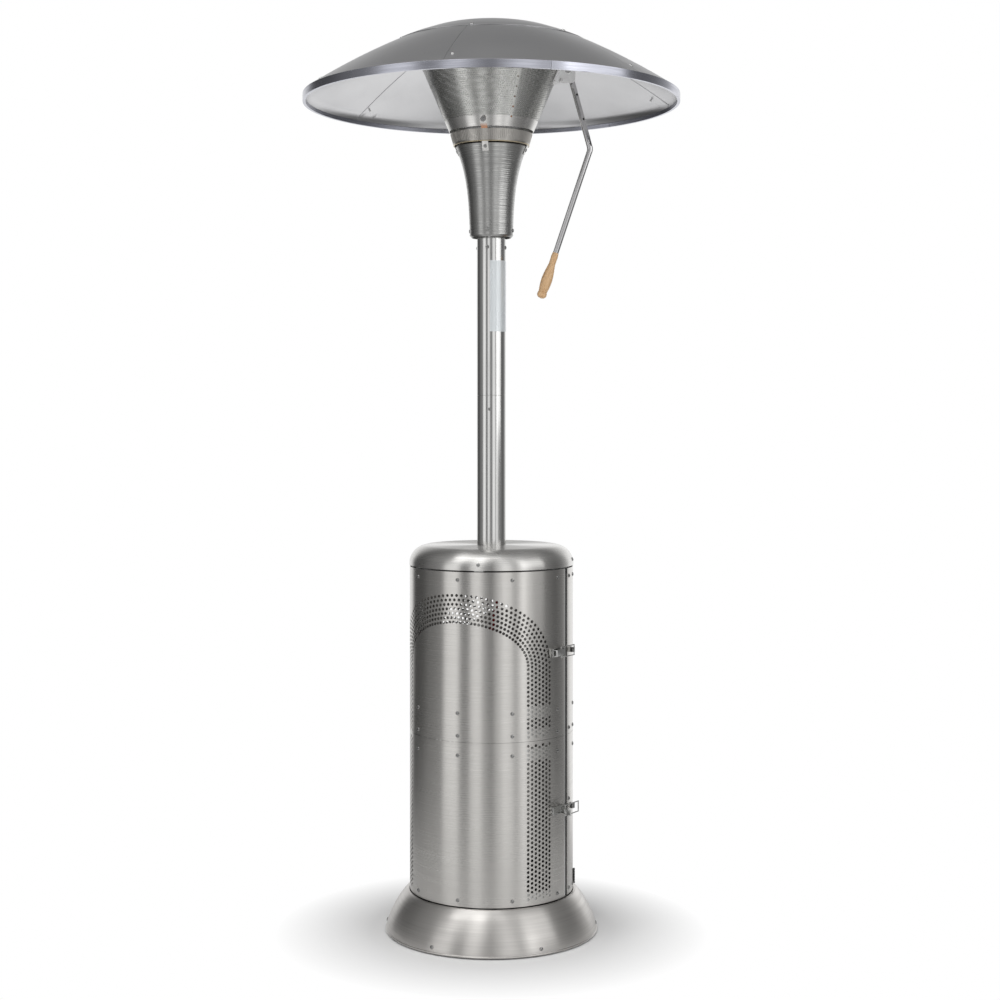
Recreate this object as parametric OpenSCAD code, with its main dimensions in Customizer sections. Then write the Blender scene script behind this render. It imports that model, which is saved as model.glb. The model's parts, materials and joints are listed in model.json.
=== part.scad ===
// Gas patio heater: a domed foot, a round bottle housing with a hinged rear door,
// a two-piece post, a trumpet-shaped burner casing and a reflector head that tilts
// on two side bolts with a long hand lever.
// Lengths are in millimetres and angles in degrees. The origin is on the floor at
// the middle of the foot, the front faces -Y and the post rises along +Z.
// A compass angle is counted from +X towards +Y, so the front is at 270.

/* [Foot] */
// Outer radius of the rolled rim of the foot
foot_r = 256; // [250:1:290]
// Height of the foot's upper lip
foot_h = 100; // [85:1:120]
// Sheet thickness of the domed foot
foot_t = 1.2; // [0.8:0.1:2]
// Radius of the rolled bead round the foot
bead_r = 2.5; // [1.5:0.25:3.5]
// Height of the bead above the floor
bead_clear = 3; // [2:0.5:6]
// How far the dome's shoulder stands out from the housing
shoulder_out = 6.5; // [5:0.5:12]
// Radius of a rubber pad
pad_r = 16; // [10:1:22]
// Height of a rubber pad
pad_h = 8; // [7:0.5:12]
// Number of rubber pads
pad_count = 6; // [4:1:8]
// Thickness of the ground plate
plate_t = 4; // [3:0.5:6]
// Height of the ground plate's turned-up edge
plate_edge_h = 8; // [7:0.5:8.5]
// Thickness of the ballast ring
ballast_h = 22; // [12:1:34]
// Radial width of the ballast ring
ballast_w = 66; // [50:1:74]
// Height of the seating ring above the ballast
seat_ring_h = 62; // [44:1:64]
// Number of screws round the foot
foot_screws = 6; // [4:1:8]

/* [Housing] */
// Outer radius of the housing panels
housing_r = 197; // [190:1:205]
// Height of the housing panels' upper edge above the floor
housing_top = 879.5; // [800:0.5:950]
// Height of the seam between the lower and upper panels
seam_z = 485; // [460:1:510]
// Sheet thickness of the panels
panel_t = 1.2; // [0.8:0.1:1.6]
// Thickness of the hoops and posts behind the panels
frame_t = 2; // [1.5:0.25:3]
// Height of one hoop
hoop_h = 28; // [20:1:34]
// Gap between the panels and the foot
door_foot_gap = 2.5; // [1.5:0.25:5]
// Gap between the housing and the cap
cap_gap = 3.5; // [2:0.25:6]
// Compass angle at the middle of the front half
front_angle = 246.5; // [246:0.25:247]
// Half the angle that the front half covers
half_angle = 84.5; // [84:0.25:85]
// Angle of the bare strip between front and door
strip_angle = 5; // [4.5:0.25:5.5]
// Angle between two columns of panel screws
screw_angle = 37.7; // [37:0.1:38]
// Distance of the top screw row from the panels' upper edge
top_row = 18.5; // [16:0.5:24]
// Distance of the bottom screw row from the panels' lower edge
bottom_row = 14.5; // [14:0.5:20]
// Height of the stiffening row above the seam
high_row = 67; // [62:1:80]
// Height of the upper seam row above the seam
seam_row = 14.5; // [14:0.5:20]
// Depth of the lower seam row below the seam
low_row = 31; // [26:1:40]
// Height of the door's middle row of screws
door_row = 330; // [325:1:400]
// Depth of the frame posts' folded edges
post_fold = 12; // [8:1:16]

/* [Cap] */
// Height of the cap
cap_h = 47; // [44:1:60]
// Radius of the cap's rounded shoulder
cap_round = 44; // [34:1:44]
// How far the cap stands out from the panels
cap_out = 1; // [0.5:0.25:3]
// Sheet thickness of the cap
cap_t = 1.2; // [0.8:0.1:2]
// Thickness of the plate that carries the post
top_plate_t = 4; // [3:0.5:6]
// Number of cap screws
cap_screws = 4; // [3:1:6]

/* [Post] */
// Outer radius of the post
post_r = 35; // [30:0.5:38]
// Wall of the post tube
post_t = 1.5; // [1.2:0.1:2.5]
// Height of the joint between lower and upper tube
joint_z = 1290; // [1200:5:1360]
// Height of the post's upper end
post_top = 1666; // [1600:1:1720]
// Length of the joint sleeve
sleeve_l = 180; // [120:5:240]
// Radius of the flange under the post
flange_r = 75; // [66:1:90]
// Height of the socket that holds the post
socket_h = 46; // [30:1:50]
// Radius of the gas pipe
pipe_r = 5; // [4:0.25:6]
// Distance of the gas pipe from the post's axis
pipe_off = 11; // [8:0.5:12]
// Height of the label film
label_h = 170; // [120:1:200]
// Height of the label film's lower edge
label_z = 1443; // [1380:1:1450]
// Angle that the label film covers
label_angle = 98; // [60:1:120]

/* [Burner casing] */
// Radius of the casing above its bottom lip
casing_low_r = 52; // [50:0.5:56]
// Radius of the casing's mouth
casing_top_r = 85.5; // [84:0.25:85.5]
// Height of the casing
casing_h = 212; // [208:1:230]
// Sheet thickness of the casing
casing_t = 1; // [0.8:0.1:1.4]
// Width of the turned-in bottom lip
lip_w = 4.5; // [3:0.5:6]
// Height of the air collar
collar_h = 29; // [24:0.5:30]
// Height of the slot between casing and air collar
collar_gap = 3; // [3:0.25:4]
// Height of the slot between air collar and emitter
emitter_gap = 5; // [5:0.25:8]
// Radius of the burner head
burner_r = 70; // [60:1:72]
// Height of the burner head
burner_h = 24; // [18:1:30]
// Number of ports in the burner head
burner_ports = 16; // [8:1:20]

/* [Head] */
// Inner radius of the emitter's bottom edge
emitter_low_r = 100.5; // [100:0.25:102]
// Height of the emitter cone
emitter_h = 197; // [170:1:200]
// How far the emitter widens for each millimetre of height
emitter_slope = 0.428; // [0.4:0.005:0.45]
// Sheet thickness of the emitter
emitter_t = 1; // [0.8:0.1:1.2]
// Height of the tilt bolts above the emitter's bottom edge
pivot_rise = 13.5; // [13:0.25:15]
// Radius of the tilt bolts
pivot_r = 4; // [3:0.25:5]
// Compass angle of the front tilt bolt
pivot_angle = 260; // [255:1:265]
// Outer radius of the reflector
reflector_r = 451; // [430:1:480]
// Rise of the reflector's curve from its edge to its axis
reflector_rise = 191; // [180:1:205]
// Height of the reflector's edge above the emitter's bottom
reflector_z = 85.5; // [80:0.5:95]
// Sheet thickness of the reflector
reflector_t = 1; // [0.8:0.1:1.5]
// Height of the reflector's turned-down edge
reflector_edge_h = 17; // [15:0.5:24]
// Number of reflector panels
reflector_panels_n = 6; // [4:1:8]
// Compass angle of the first seam between reflector panels
seam_angle = 256.7; // [240:0.1:270]
// Radius of the reflector's top disc
disc_r = 232; // [220:1:250]
// Width by which the disc covers the panels
disc_lap = 28; // [20:1:32]
// Radius of the disc's flat middle
disc_flat_r = 90; // [84:1:100]
// Height of the disc's flat middle above the reflector's edge
disc_rise = 169.5; // [168:0.5:176]
// Distance of the reflector's pillars from the axis
pillar_place = 70; // [55:1:74]

/* [Lever] */
// Compass angle of the lever
lever_angle = 350; // [345:1:355]
// Outer radius of the lever tube
lever_r = 7; // [6:0.25:8]
// Distance of the lever bolt from the axis
lever_bolt_r = 187; // [184:0.5:192]
// Height of the lever bolt above the emitter's bottom edge
lever_bolt_z = 143; // [138:1:148]
// Length of the lever tube above its bend
lever_upper_l = 195; // [170:1:210]
// Lean of the lever above its bend
lever_upper_lean = 15.3; // [13:0.1:18]
// Length of the lever tube below its bend
lever_lower_l = 259.7; // [220:0.5:280]
// Lean of the lever below its bend
lever_lower_lean = 18.7; // [16:0.1:20]
// Length of the wooden grip
grip_l = 115; // [90:1:130]
// Largest radius of the wooden grip
grip_r = 13.5; // [13.25:0.25:17]

/* [Latches and hinges] */
// Compass angle at the middle of a latch
latch_angle = 329; // [328.5:0.25:329.5]
// Height of the upper latch
latch_high_z = 686; // [640:1:740]
// Height of the lower latch
latch_low_z = 314; // [280:1:316]
// Height of a latch base
latch_h = 20; // [18:0.5:24]
// Length of a latch lever from its pin to its free end
latch_lever_l = 38; // [30:0.5:42]
// Length of a latch loop
latch_loop_l = 58; // [57:0.25:58.5]
// Angle to which the lower latch's lever stands open
open_angle = 50; // [20:1:60]
// Height of one hinge
hinge_l = 60; // [45:1:80]
// Height of the upper hinge's middle
hinge_high_z = 720; // [650:1:780]
// Height of the lower hinge's middle
hinge_low_z = 240; // [200:1:330]

/* [Controls] */
// Height of the control knob above the casing's bottom
knob_z = 116; // [100:1:130]
// Radius of the control knob
knob_r = 18; // [14:0.5:20]
// Length of the control knob
knob_l = 18; // [12:0.5:24]
// Height of the igniter above the casing's bottom
igniter_z = 66; // [56:1:74]
// Radius of the igniter button
button_r = 6; // [5:0.25:8]
// Travel of the igniter button
button_travel = 5; // [3:0.5:6]

/* [Fits and fasteners] */
// Gap between pieces that rest against each other
seat_gap = 0.3; // [0.25:0.05:0.4]
// Radial clearance of a pin that turns
run_fit = 0.05; // [0.02:0.01:0.1]
// Radial clearance of a screw in its hole
hole_fit = 0.25; // [0.2:0.05:0.4]
// How far cuts run past a face
overrun = 1; // [0.5:0.1:2]
// Radius of a screw's head
head_r = 4.5; // [3:0.1:4.5]
// Height of a screw's head
head_h = 2.4; // [1.5:0.1:3]
// Radius of a screw's shank
shank_r = 2; // [1.5:0.1:2.4]
// Length of a screw's shank
shank_l = 9; // [8:0.5:12]

/* [Hidden] */
$fn = 64;

// Tones of the materials
brushed = [0.74, 0.73, 0.71];
bright = [0.84, 0.83, 0.81];
dull = [0.62, 0.61, 0.6];
dark = [0.45, 0.45, 0.46];
black = [0.13, 0.13, 0.13];
brassy = [0.78, 0.62, 0.32];
tinted = [0.66, 0.5, 0.36];
red = [0.68, 0.09, 0.07];
pale = [0.67, 0.68, 0.69];
timber = [0.76, 0.58, 0.36];

// Foot: curve of the dome and places of what stands on it
dome_round = 1.4;
dome_shoulder = 0.85;
dome_steps = 14;
lip_clear = 1.3;
plate_edge_in = 6.2;
plate_edge_r = foot_r - plate_edge_in;
plate_edge_t = 2;
foot_screw_z = 17;
foot_screw_turn = 57;
plate_top = pad_h + plate_t;
ballast_top = plate_top + ballast_h;
ballast_out = 15;
pad_in = 34;
seat_ring_t = 2;
dome_low_r = foot_r - bead_r + foot_t;
dome_low_z = bead_clear + bead_r;

// Housing: shells from outside to inside
hoop_r = housing_r - panel_t - seat_gap;
hoop_in_r = hoop_r - frame_t;
seat_ring_r = hoop_in_r - seat_gap;
panel_low = foot_h + door_foot_gap;
seam_gap = 0.3;
front_from = front_angle - half_angle;
front_to = front_angle + half_angle;
door_from = front_to + strip_angle;
door_to = front_from - strip_angle + 360;
door_mid = (door_from + door_to) / 2;
cover_angle = 8;
reveal_angle = 0.6;
hinge_post = [front_from - strip_angle + reveal_angle, front_from + cover_angle];
latch_post = [front_to - cover_angle, door_from - reveal_angle];
fold_angle = 0.6;
hoop_angle = 0.3;
stile_angle = 4;
edge_angle = 3.5;
front_rows_high = [housing_top - top_row, seam_z + high_row, seam_z + seam_row];
front_rows_low = [seam_z - low_row, panel_low + bottom_row];
front_columns = [for (k = [-2:2]) front_angle + k * screw_angle];
door_columns = [for (k = [-2:2]) door_mid + k * screw_angle];
door_edges = [door_from + edge_angle, door_to - edge_angle];

// Cap and top plate
cap_r = housing_r + cap_out;
cap_low = housing_top + cap_gap;
cap_top = cap_low + cap_h;
cap_round_r = cap_r - cap_round;
cap_round_z = cap_top - cap_round;
cap_steps = 9;
cap_screw_rise = 11;
cap_screw_turn = 20;
cap_screw_lean = asin(cap_screw_rise / cap_round);
top_plate_in = 7;
top_plate_r = housing_r - top_plate_in;
top_plate_drop = 11.5;
top_plate_z = housing_top - top_plate_drop;
plate_upper = top_plate_z + top_plate_t;
tab_t = 2;
tab_w = 22;
tab_step = 6.5;
tab_step_z = housing_top + tab_step;
tab_in = 5;
tab_r = housing_r - tab_in;
tab_over = 6;
tab_top = cap_round_z + cap_screw_rise + tab_over;

// Post
flange_t = 5;
socket_t = 4;
flange_hole = 20;
flange_bolt_place = 58;
flange_bolt_r = 5;
bolt_head_h = 5;
post_low = plate_upper + flange_t;
tube_gap = 0.2;
post_in_r = post_r - post_t;
sleeve_r = post_in_r - seat_gap;
sleeve_t = 1.5;
joint_screw_drop = 33;
joint_screw_angle = 264;
top_screw_drop = 21;
top_screw_angle = 254;
label_t = 0.3;
label_from = 264;
pipe_bore = 3.5;
pipe_drop = 22;
pipe_low = top_plate_z - pipe_drop;
gland_r = 10;
gland_h = 12;

// Regulator, parked on a peg of the hinge-side post
regulator_angle = (hinge_post[0] + hinge_post[1]) / 2;
regulator_place = 140;
nozzle_end = 74;
regulator_r = 30;
regulator_h = 22;
coupling_r = 19;
coupling_h = 30;
coupling_bore = 11;
peg_r = 9;
peg_h = 22;
shelf_z = 645;
shelf_t = 3;
shelf_w = 30;
regulator_z = shelf_z + shelf_t;
nozzle_z = regulator_z + coupling_h + regulator_h / 2;
nozzle_r = 5.5;
tap_r = 12;
tap_h = 12;
tap_l = 30;
tap_w = 9;

// Gas hose: middle line from the regulator's nozzle up to the gas pipe
hose_r = 5;
hose_sides = 12;
hose_points = [
    nozzle_end * [cos(regulator_angle), sin(regulator_angle), 0] + [0, 0, nozzle_z],
    nozzle_end / 1.3 * [cos(regulator_angle), sin(regulator_angle), 0] + [0, 0, nozzle_z],
    [-40, 12, 690], [-25, 8, 693], [-13, 4, 701], [-4, 1, 714], [2, 0, 730],
    [6, 0, 748], [9, 0, 768], [11, 0, 789],
    [pipe_off, 0, 810], [pipe_off, 0, pipe_low - 3 * hose_r], [pipe_off, 0, pipe_low]
];

// Burner casing
casing_gap = 8;
casing_low = post_top + casing_gap;
casing_top = casing_low + casing_h;
casing_straight_share = 0.2;
casing_curve = 3.1;
casing_steps = 16;
lip_h = 5;
casing_screw_rise = 12;
strap_screw_drop = 8;
casing_screw_angle = 259;
function casing_r_at(z) = let (u = (z - casing_low) / casing_h)
    casing_low_r + (casing_top_r - casing_low_r)
    * (casing_straight_share * u + (1 - casing_straight_share) * pow(u, casing_curve));

// Air collar and straps
collar_low = casing_top + collar_gap;
collar_top = collar_low + collar_h;
collar_t = 1;
collar_out = 4.7;
collar_low_r = casing_top_r + collar_out;
collar_in = 2;
collar_top_r = emitter_low_r - collar_in;
collar_bead = 1.3;
strap_t = 1.5;
strap_w = 15;
strap_low_drop = 18;
strap_seat = 0.05;
collar_slope = (collar_top_r - collar_low_r) / collar_h;
collar_play = 0.65;
function strap_r_at(z) = collar_low_r + collar_slope * (z - collar_low)
    - (collar_t + strap_t) / cos(atan(collar_slope)) - collar_play;
strap_foot = [casing_r_at(casing_top - strap_low_drop) + strap_seat, casing_top - strap_low_drop];
strap_knee = [strap_r_at(casing_top + collar_gap / 2), casing_top + collar_gap / 2];
strap_head = [strap_r_at(collar_top + collar_gap), collar_top + collar_gap];
strap_foot_slope = (strap_knee[0] - strap_foot[0]) / (strap_knee[1] - strap_foot[1]);
strap_foot_lean = atan(strap_foot_slope);

// Emitter cone
emitter_low = collar_top + emitter_gap;
emitter_top = emitter_low + emitter_h;
emitter_r = emitter_low_r + emitter_t;
emitter_lean = atan(emitter_slope);
function emitter_r_at(z) = emitter_r + emitter_slope * (z - emitter_low);
pivot_z = emitter_low + pivot_rise;
strap_end_rise = 10.5;
lid_t = 1.2;
lid_over = 2;
lid_drop = 8;
lap_angle = 295;
lap_rivets = 8;
rivet_r = 2.2;
rivet_h = 1.4;

// Tilt bolts, from the nut inside to the head outside
nut_r = 7.5;
nut_h = 5;
bush_r = 6.5;
plate_w = 16;
plate_thick = 2;
bolt_head_r = 6;
bolt_head_l = 4;
strap_out_r = strap_head[0] + strap_t;
bush_out_r = emitter_r_at(pivot_z - bush_r) - emitter_t - 2 * seat_gap;
bolt_seat_r = emitter_r_at(pivot_z + bolt_head_r) + (plate_thick + 2 * seat_gap) / cos(emitter_lean);

// Reflector
edge_z = emitter_low + reflector_z;
dome_power = 1.53;
panel_in_r = disc_r - disc_lap;
panel_steps = 7;
function dome_z(r) = edge_z + reflector_rise * (1 - pow(r / reflector_r, dome_power));
function dome_lean(r) = atan((dome_z(r - overrun) - dome_z(r + overrun)) / (2 * overrun));
lap_turn = 3.2;
lap_gap = 0.1;
play_angle = 0.15;
rim_t = 1;
rim_w = 6;
rim_gap_angle = 0.1;
disc_knee_r = 150;
disc_knee_drop = 14;
disc_top = edge_z + disc_rise;
pillar_r = 7;
pillar_count = 4;
seam_screw_in = 31;
seam_screw_turn = 1.65;
disc_screw_in = 9;

// Lever bracket, rod and grip in the upright plane of the lever
bracket_t = 2.5;
bracket_w = 30;
bracket_rise = 113;
bracket_low = emitter_low + bracket_rise;
bracket_h = 46;
bracket_high = bracket_low + bracket_h;
bracket_out = 203;
lever_swell = 0.25;
lever_side = bracket_t + lever_r + lever_swell + seat_gap;
lever_bolt_height = emitter_low + lever_bolt_z;
lever_over = 14;
lever_bend = [
    lever_bolt_r + lever_upper_l * sin(lever_upper_lean),
    lever_bolt_height - lever_upper_l * cos(lever_upper_lean)
];
lever_end = lever_bend
    - lever_lower_l * [sin(lever_lower_lean), cos(lever_lower_lean)];
lever_elbow_r = 20;
lever_bore = 5.5;
lever_hole_r = 3;
lever_hole_step = 61;
lever_hole_turn = 40;
lever_holes = 3;
lever_bolt_radius = 4;
plate_screw_r = 168;
plate_screw_rise = 7;
plate_screw = [plate_screw_r, bracket_low + plate_screw_rise];
grip_shares = [0.54, 0.62, 0.6, 0.6, 0.72, 0.85, 0.94, 1, 0.98, 0.92, 0.8, 0.87, 0.5];

// Latches: along the housing, up, and outward from the housing's surface
pin_along = -12;
housing_facets = 256;
pin_out = 8.5;
loop_back = 12;
latch_pin_r = 1.5;
latch_base_back = -48;
latch_base_front = -2;
latch_base_t = 1.5;
latch_sink = 8;
ear_t = 2;
ear_w = 12;
ear_top = 12;
lever_w = 15;
lever_low_face = 4;
lever_high_face = 2.5;
lever_nose = 4;
lever_wall = 1.5;
wire_r = 1.3;
wire_half = 12;
loop_end_in = 4;
keeper_from = 30;
keeper_to = 41;
keeper_w = 12;
keeper_foot_to = 46;
keeper_t = 1.6;
keeper_h = 10;
loop_rest_out = keeper_h + seat_gap + wire_r;

// Ribbed rubber stop on the door
buffer_angle = 358;
buffer_h = 34;
buffer_w = 12;
buffer_out = 5;
buffer_ribs = 5;
buffer_z = 129;

// Hinges
hinge_angle = front_from - strip_angle / 2;
barrel_r = 4;
barrel_out = 6;
hinge_pin_r = 2;
leaf_w = 26;
leaf_t = 1.6;
leaf_sink = 5;
leaf_clear = 1;
knuckle_gap = 0.4;

// Controls
control_angle = 90;
bezel_r = 23;
bezel_t = 4;
bezel_sink = 9;
stem_r = 3;
stem_l = 10;
knob_gap = 1;
knob_ridges = 16;
ridge_r = 1.2;
igniter_r = 9;
igniter_l = 28;
igniter_nut_r = 12;
igniter_nut_t = 3.5;
button_l = 22;
button_out = 8;

// Burner parts
support_ring_h = 20;
support_rise = 2.5;
support_t = 1.5;
support_insert = 48;
support_leg_w = 16;
support_leg_t = 3;
support_leg_out = 19;
support_hole_r = 6;
support_holes = 6;
valve_w = 31;
valve_h = 40;
valve_z = casing_low + knob_z;
injector_r = 6;
injector_h = 12;
venturi_r = 11;
venturi_t = 1.5;
venturi_gap = 3;
burner_rise = 3;
burner_low = collar_low + burner_rise;
burner_t = 1.5;
port_r = 4;
pilot_angle = 170;
pilot_rod_r = 2.5;
pilot_rod_l = 44;

// Sheet whose outer side runs through the given points; the wall lies to their left
function left_of(a, b) = let (d = b - a) [-d[1], d[0]] / norm(d);
function bisector(p, k) = let (last = len(p) - 1)
    k == 0 ? left_of(p[0], p[1])
    : k == last ? left_of(p[last - 1], p[last])
    : let (a = left_of(p[k - 1], p[k]), b = left_of(p[k], p[k + 1])) (a + b) / (1 + a * b);
function sheet(p, t) = concat(p, [for (k = [len(p) - 1:-1:0]) p[k] + t * bisector(p, k)]);

module spun(p, t) {
    rotate_extrude() polygon(sheet(p, t));
}

// Band between two radii that covers part of a turn
module arc_band(outer, inner, low, high, from, to) {
    translate([0, 0, low])
        rotate([0, 0, from])
            rotate_extrude(angle = to - from)
                translate([inner, 0])
                    square([outer - inner, high - low]);
}

module rod(radius, low, high) {
    translate([0, 0, low])
        cylinder(r = radius, h = high - low);
}

// Cut that runs past both ends of a stretch
module bore(radius, low, high) {
    rod(radius, low - overrun, high + overrun);
}

module tube(outer, inner, low, high) {
    difference() {
        rod(outer, low, high);
        bore(inner, low, high);
    }
}

// Puts children on a round wall: their +Z points outward, their +Y along the wall
module on_wall(angle, height, radius, lean = 0) {
    rotate([0, 0, angle])
        translate([radius, 0, height])
            rotate([0, 90 - lean, 0])
                children();
}

// Puts children on the reflector's outer face, +Z along its normal
module on_dome(angle, radius, lift = 0) {
    rotate([0, 0, angle])
        translate([radius, 0, dome_z(radius)])
            rotate([0, dome_lean(radius), 0])
                translate([0, 0, lift])
                    children();
}

module screw(shank = shank_l) {
    rotate_extrude()
        polygon([
            [0, -shank], [shank_r, -shank], [shank_r, 0], [head_r, 0],
            [head_r, head_h / 2], [head_r / 2, head_h], [0, head_h]
        ]);
}

module screw_hole() {
    bore(shank_r + hole_fit, -shank_l, 0);
}

module rivet(length = rivet_h) {
    rotate_extrude()
        polygon([
            [0, -length], [rivet_r / 2, -length], [rivet_r / 2, 0], [rivet_r, 0],
            [rivet_r, rivet_h / 2], [rivet_r / 2, rivet_h], [0, rivet_h]
        ]);
}

function foot_r_at(z) = let (
        u = (foot_h - z) / (foot_h - dome_low_z),
        top = housing_r + shoulder_out
    ) top + (dome_low_r - top) * pow(1 - pow(1 - u, dome_round), dome_shoulder);
function foot_lean_at(z) = atan((foot_r_at(z - overrun) - foot_r_at(z + overrun)) / (2 * overrun));

module each_foot_screw() {
    for (k = [0:foot_screws - 1])
        on_wall(foot_screw_turn + k * 360 / foot_screws, foot_screw_z,
                foot_r_at(foot_screw_z), foot_lean_at(foot_screw_z))
            children();
}

module rubber_pads() {
    color(black)
        for (k = [0:pad_count - 1])
            rotate([0, 0, k * 360 / pad_count])
                translate([plate_edge_r - pad_in, 0, 0])
                    cylinder(r = pad_r, h = pad_h);
}

module ground_plate() {
    color(black)
        difference() {
            union() {
                translate([0, 0, pad_h])
                    cylinder(r = plate_edge_r, h = plate_t);
                tube(plate_edge_r, plate_edge_r - plate_edge_t, pad_h, plate_top + plate_edge_h);
            }
            each_foot_screw() screw_hole();
        }
}

module ballast_ring() {
    color(black)
        tube(plate_edge_r - ballast_out, plate_edge_r - ballast_out - ballast_w,
             plate_top, ballast_top);
}

module foot_skirt() {
    color(brushed)
        difference() {
            union() {
                spun(concat(
                    [for (k = [dome_steps:-1:0])
                        let (z = foot_h - (foot_h - dome_low_z) * pow(k / dome_steps, dome_round))
                        [foot_r_at(z), z]],
                    [[housing_r + lip_clear, foot_h]]
                ), foot_t);
                translate([0, 0, dome_low_z])
                    rotate_extrude()
                        translate([foot_r - bead_r, 0])
                            circle(r = bead_r);
            }
            each_foot_screw() screw_hole();
        }
}

module seating_ring() {
    color(brushed)
        tube(seat_ring_r, seat_ring_r - seat_ring_t, ballast_top, ballast_top + seat_ring_h);
}

module frame_post(span) {
    difference() {
        arc_band(hoop_r, hoop_in_r - post_fold, ballast_top, top_plate_z, span[0], span[1]);
        arc_band(hoop_in_r, hoop_in_r - post_fold - overrun, ballast_top - overrun,
                 top_plate_z + overrun, span[0] + fold_angle, span[1] - fold_angle);
        rod(hoop_in_r, 0, ballast_top + seat_ring_h + seat_gap);
    }
}

module parking_shelf() {
    rotate([0, 0, regulator_angle]) {
        intersection() {
            translate([regulator_place - coupling_r, -shelf_w / 2, shelf_z])
                cube([hoop_in_r, shelf_w, shelf_t]);
            bore(hoop_in_r - seat_gap, shelf_z, shelf_z + shelf_t);
        }
        translate([regulator_place, 0, 0])
            rod(peg_r, shelf_z, shelf_z + shelf_t + peg_h);
    }
}

module frame_posts() {
    color(dull) {
        frame_post(latch_post);
        frame_post(hinge_post);
        parking_shelf();
    }
}

module each_front_screw() {
    for (z = concat(front_rows_high, front_rows_low), a = front_columns)
        on_wall(a, z, housing_r) children();
}

module each_door_screw() {
    for (z = concat(front_rows_high, front_rows_low), a = door_columns)
        on_wall(a, z, housing_r) children();
    for (z = [housing_top - top_row, seam_z + seam_row, door_row, panel_low + bottom_row],
         a = door_edges)
        on_wall(a, z, housing_r) children();
}

module hoop(z, from, to) {
    arc_band(hoop_r, hoop_in_r, z - hoop_h / 2, z + hoop_h / 2, from, to);
}

module front_hoops() {
    color(bright)
        difference() {
            for (z = concat(front_rows_high, front_rows_low))
                hoop(z, hinge_post[1] + hoop_angle, latch_post[0] - hoop_angle);
            each_front_screw() screw_hole();
        }
}

module panel(low, high, from, to) {
    color(brushed)
        difference() {
            arc_band(housing_r, housing_r - panel_t, low, high, from, to);
            children();
        }
}

module front_upper_panel() {
    panel(seam_z + seam_gap, housing_top, front_from, front_to)
        each_front_screw() screw_hole();
}

module front_lower_panel() {
    panel(panel_low, seam_z - seam_gap, front_from, front_to)
        each_front_screw() screw_hole();
}

module housing_screws() {
    color(bright) {
        each_front_screw() screw();
        each_foot_screw() screw();
        each_cap_screw() screw();
    }
}

module each_cap_screw() {
    for (k = [0:cap_screws - 1])
        on_wall(front_to + cap_screw_turn + k * 360 / cap_screws, cap_round_z + cap_screw_rise,
                cap_round_r + cap_round * cos(cap_screw_lean), cap_screw_lean)
            children();
}

module each_flange_bolt() {
    for (k = [0:3])
        rotate([0, 0, 45 + k * 90])
            translate([flange_bolt_place, 0, post_low])
                children();
}

module top_plate() {
    color(dark)
        difference() {
            union() {
                translate([0, 0, top_plate_z])
                    cylinder(r = top_plate_r, h = top_plate_t);
                for (k = [0:cap_screws - 1])
                    rotate([90, 0, front_to + cap_screw_turn + k * 360 / cap_screws])
                        translate([0, 0, -tab_w / 2])
                            linear_extrude(height = tab_w)
                                polygon(sheet([
                                    [top_plate_r - tab_t, top_plate_z + tab_t / 2],
                                    [top_plate_r - tab_t, tab_step_z],
                                    [tab_r, tab_step_z], [tab_r, tab_top]
                                ], tab_t));
            }
            each_cap_screw() screw_hole();
            each_flange_bolt() bore(flange_bolt_r + hole_fit, -flange_t - top_plate_t, 0);
            translate([pipe_off, 0, 0])
                bore(pipe_r + seat_gap, top_plate_z, plate_upper);
        }
}

module housing_cap() {
    color(brushed)
        difference() {
            spun(concat(
                [[cap_r, cap_low]],
                [for (k = [0:cap_steps]) let (a = 90 * k / cap_steps)
                    [cap_round_r + cap_round * cos(a), cap_round_z + cap_round * sin(a)]],
                [[post_r + seat_gap, cap_top]]
            ), cap_t);
            each_cap_screw() screw_hole();
        }
}

module post_socket() {
    color(dark)
        difference() {
            union() {
                tube(flange_r, flange_hole, plate_upper, post_low);
                tube(post_r + seat_gap + socket_t, post_r + seat_gap, post_low - overrun,
                     post_low + socket_h);
            }
            each_socket_screw() screw_hole();
            each_flange_bolt() bore(flange_bolt_r + hole_fit, -flange_t, 0);
        }
}

module each_socket_screw() {
    for (a = [0:90:270])
        on_wall(joint_screw_angle + a, post_low + socket_h / 2, post_r + seat_gap + socket_t)
            children();
}

module each_joint_screw() {
    for (a = [0, 180])
        on_wall(joint_screw_angle + a, joint_z - joint_screw_drop, post_r) children();
}

module each_top_screw() {
    for (a = [0:90:270])
        on_wall(top_screw_angle + a, post_top - top_screw_drop, post_r) children();
}

module post_lower() {
    color(brushed)
        difference() {
            tube(post_r, post_in_r, post_low, joint_z - tube_gap);
            each_socket_screw() screw_hole();
            each_joint_screw() screw_hole();
        }
}

module post_sleeve() {
    color(dull)
        difference() {
            tube(sleeve_r, sleeve_r - sleeve_t, joint_z - sleeve_l / 2, joint_z + sleeve_l / 2);
            each_joint_screw() screw_hole();
        }
}

module post_upper() {
    color(brushed)
        difference() {
            tube(post_r, post_in_r, joint_z + tube_gap, post_top);
            each_top_screw() screw_hole();
        }
}

module post_screws() {
    color(bright) {
        each_socket_screw() screw();
        each_joint_screw() screw();
        each_top_screw() screw();
        each_flange_bolt() {
            cylinder(r = 2 * flange_bolt_r - overrun, h = bolt_head_h, $fn = 6);
            rod(flange_bolt_r, -flange_t - top_plate_t - bolt_head_h, bolt_head_h);
        }
    }
}

module label_film() {
    color(bright)
        arc_band(post_r + label_t + run_fit, post_r + run_fit, label_z, label_z + label_h,
                 label_from, label_from + label_angle);
}

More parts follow.
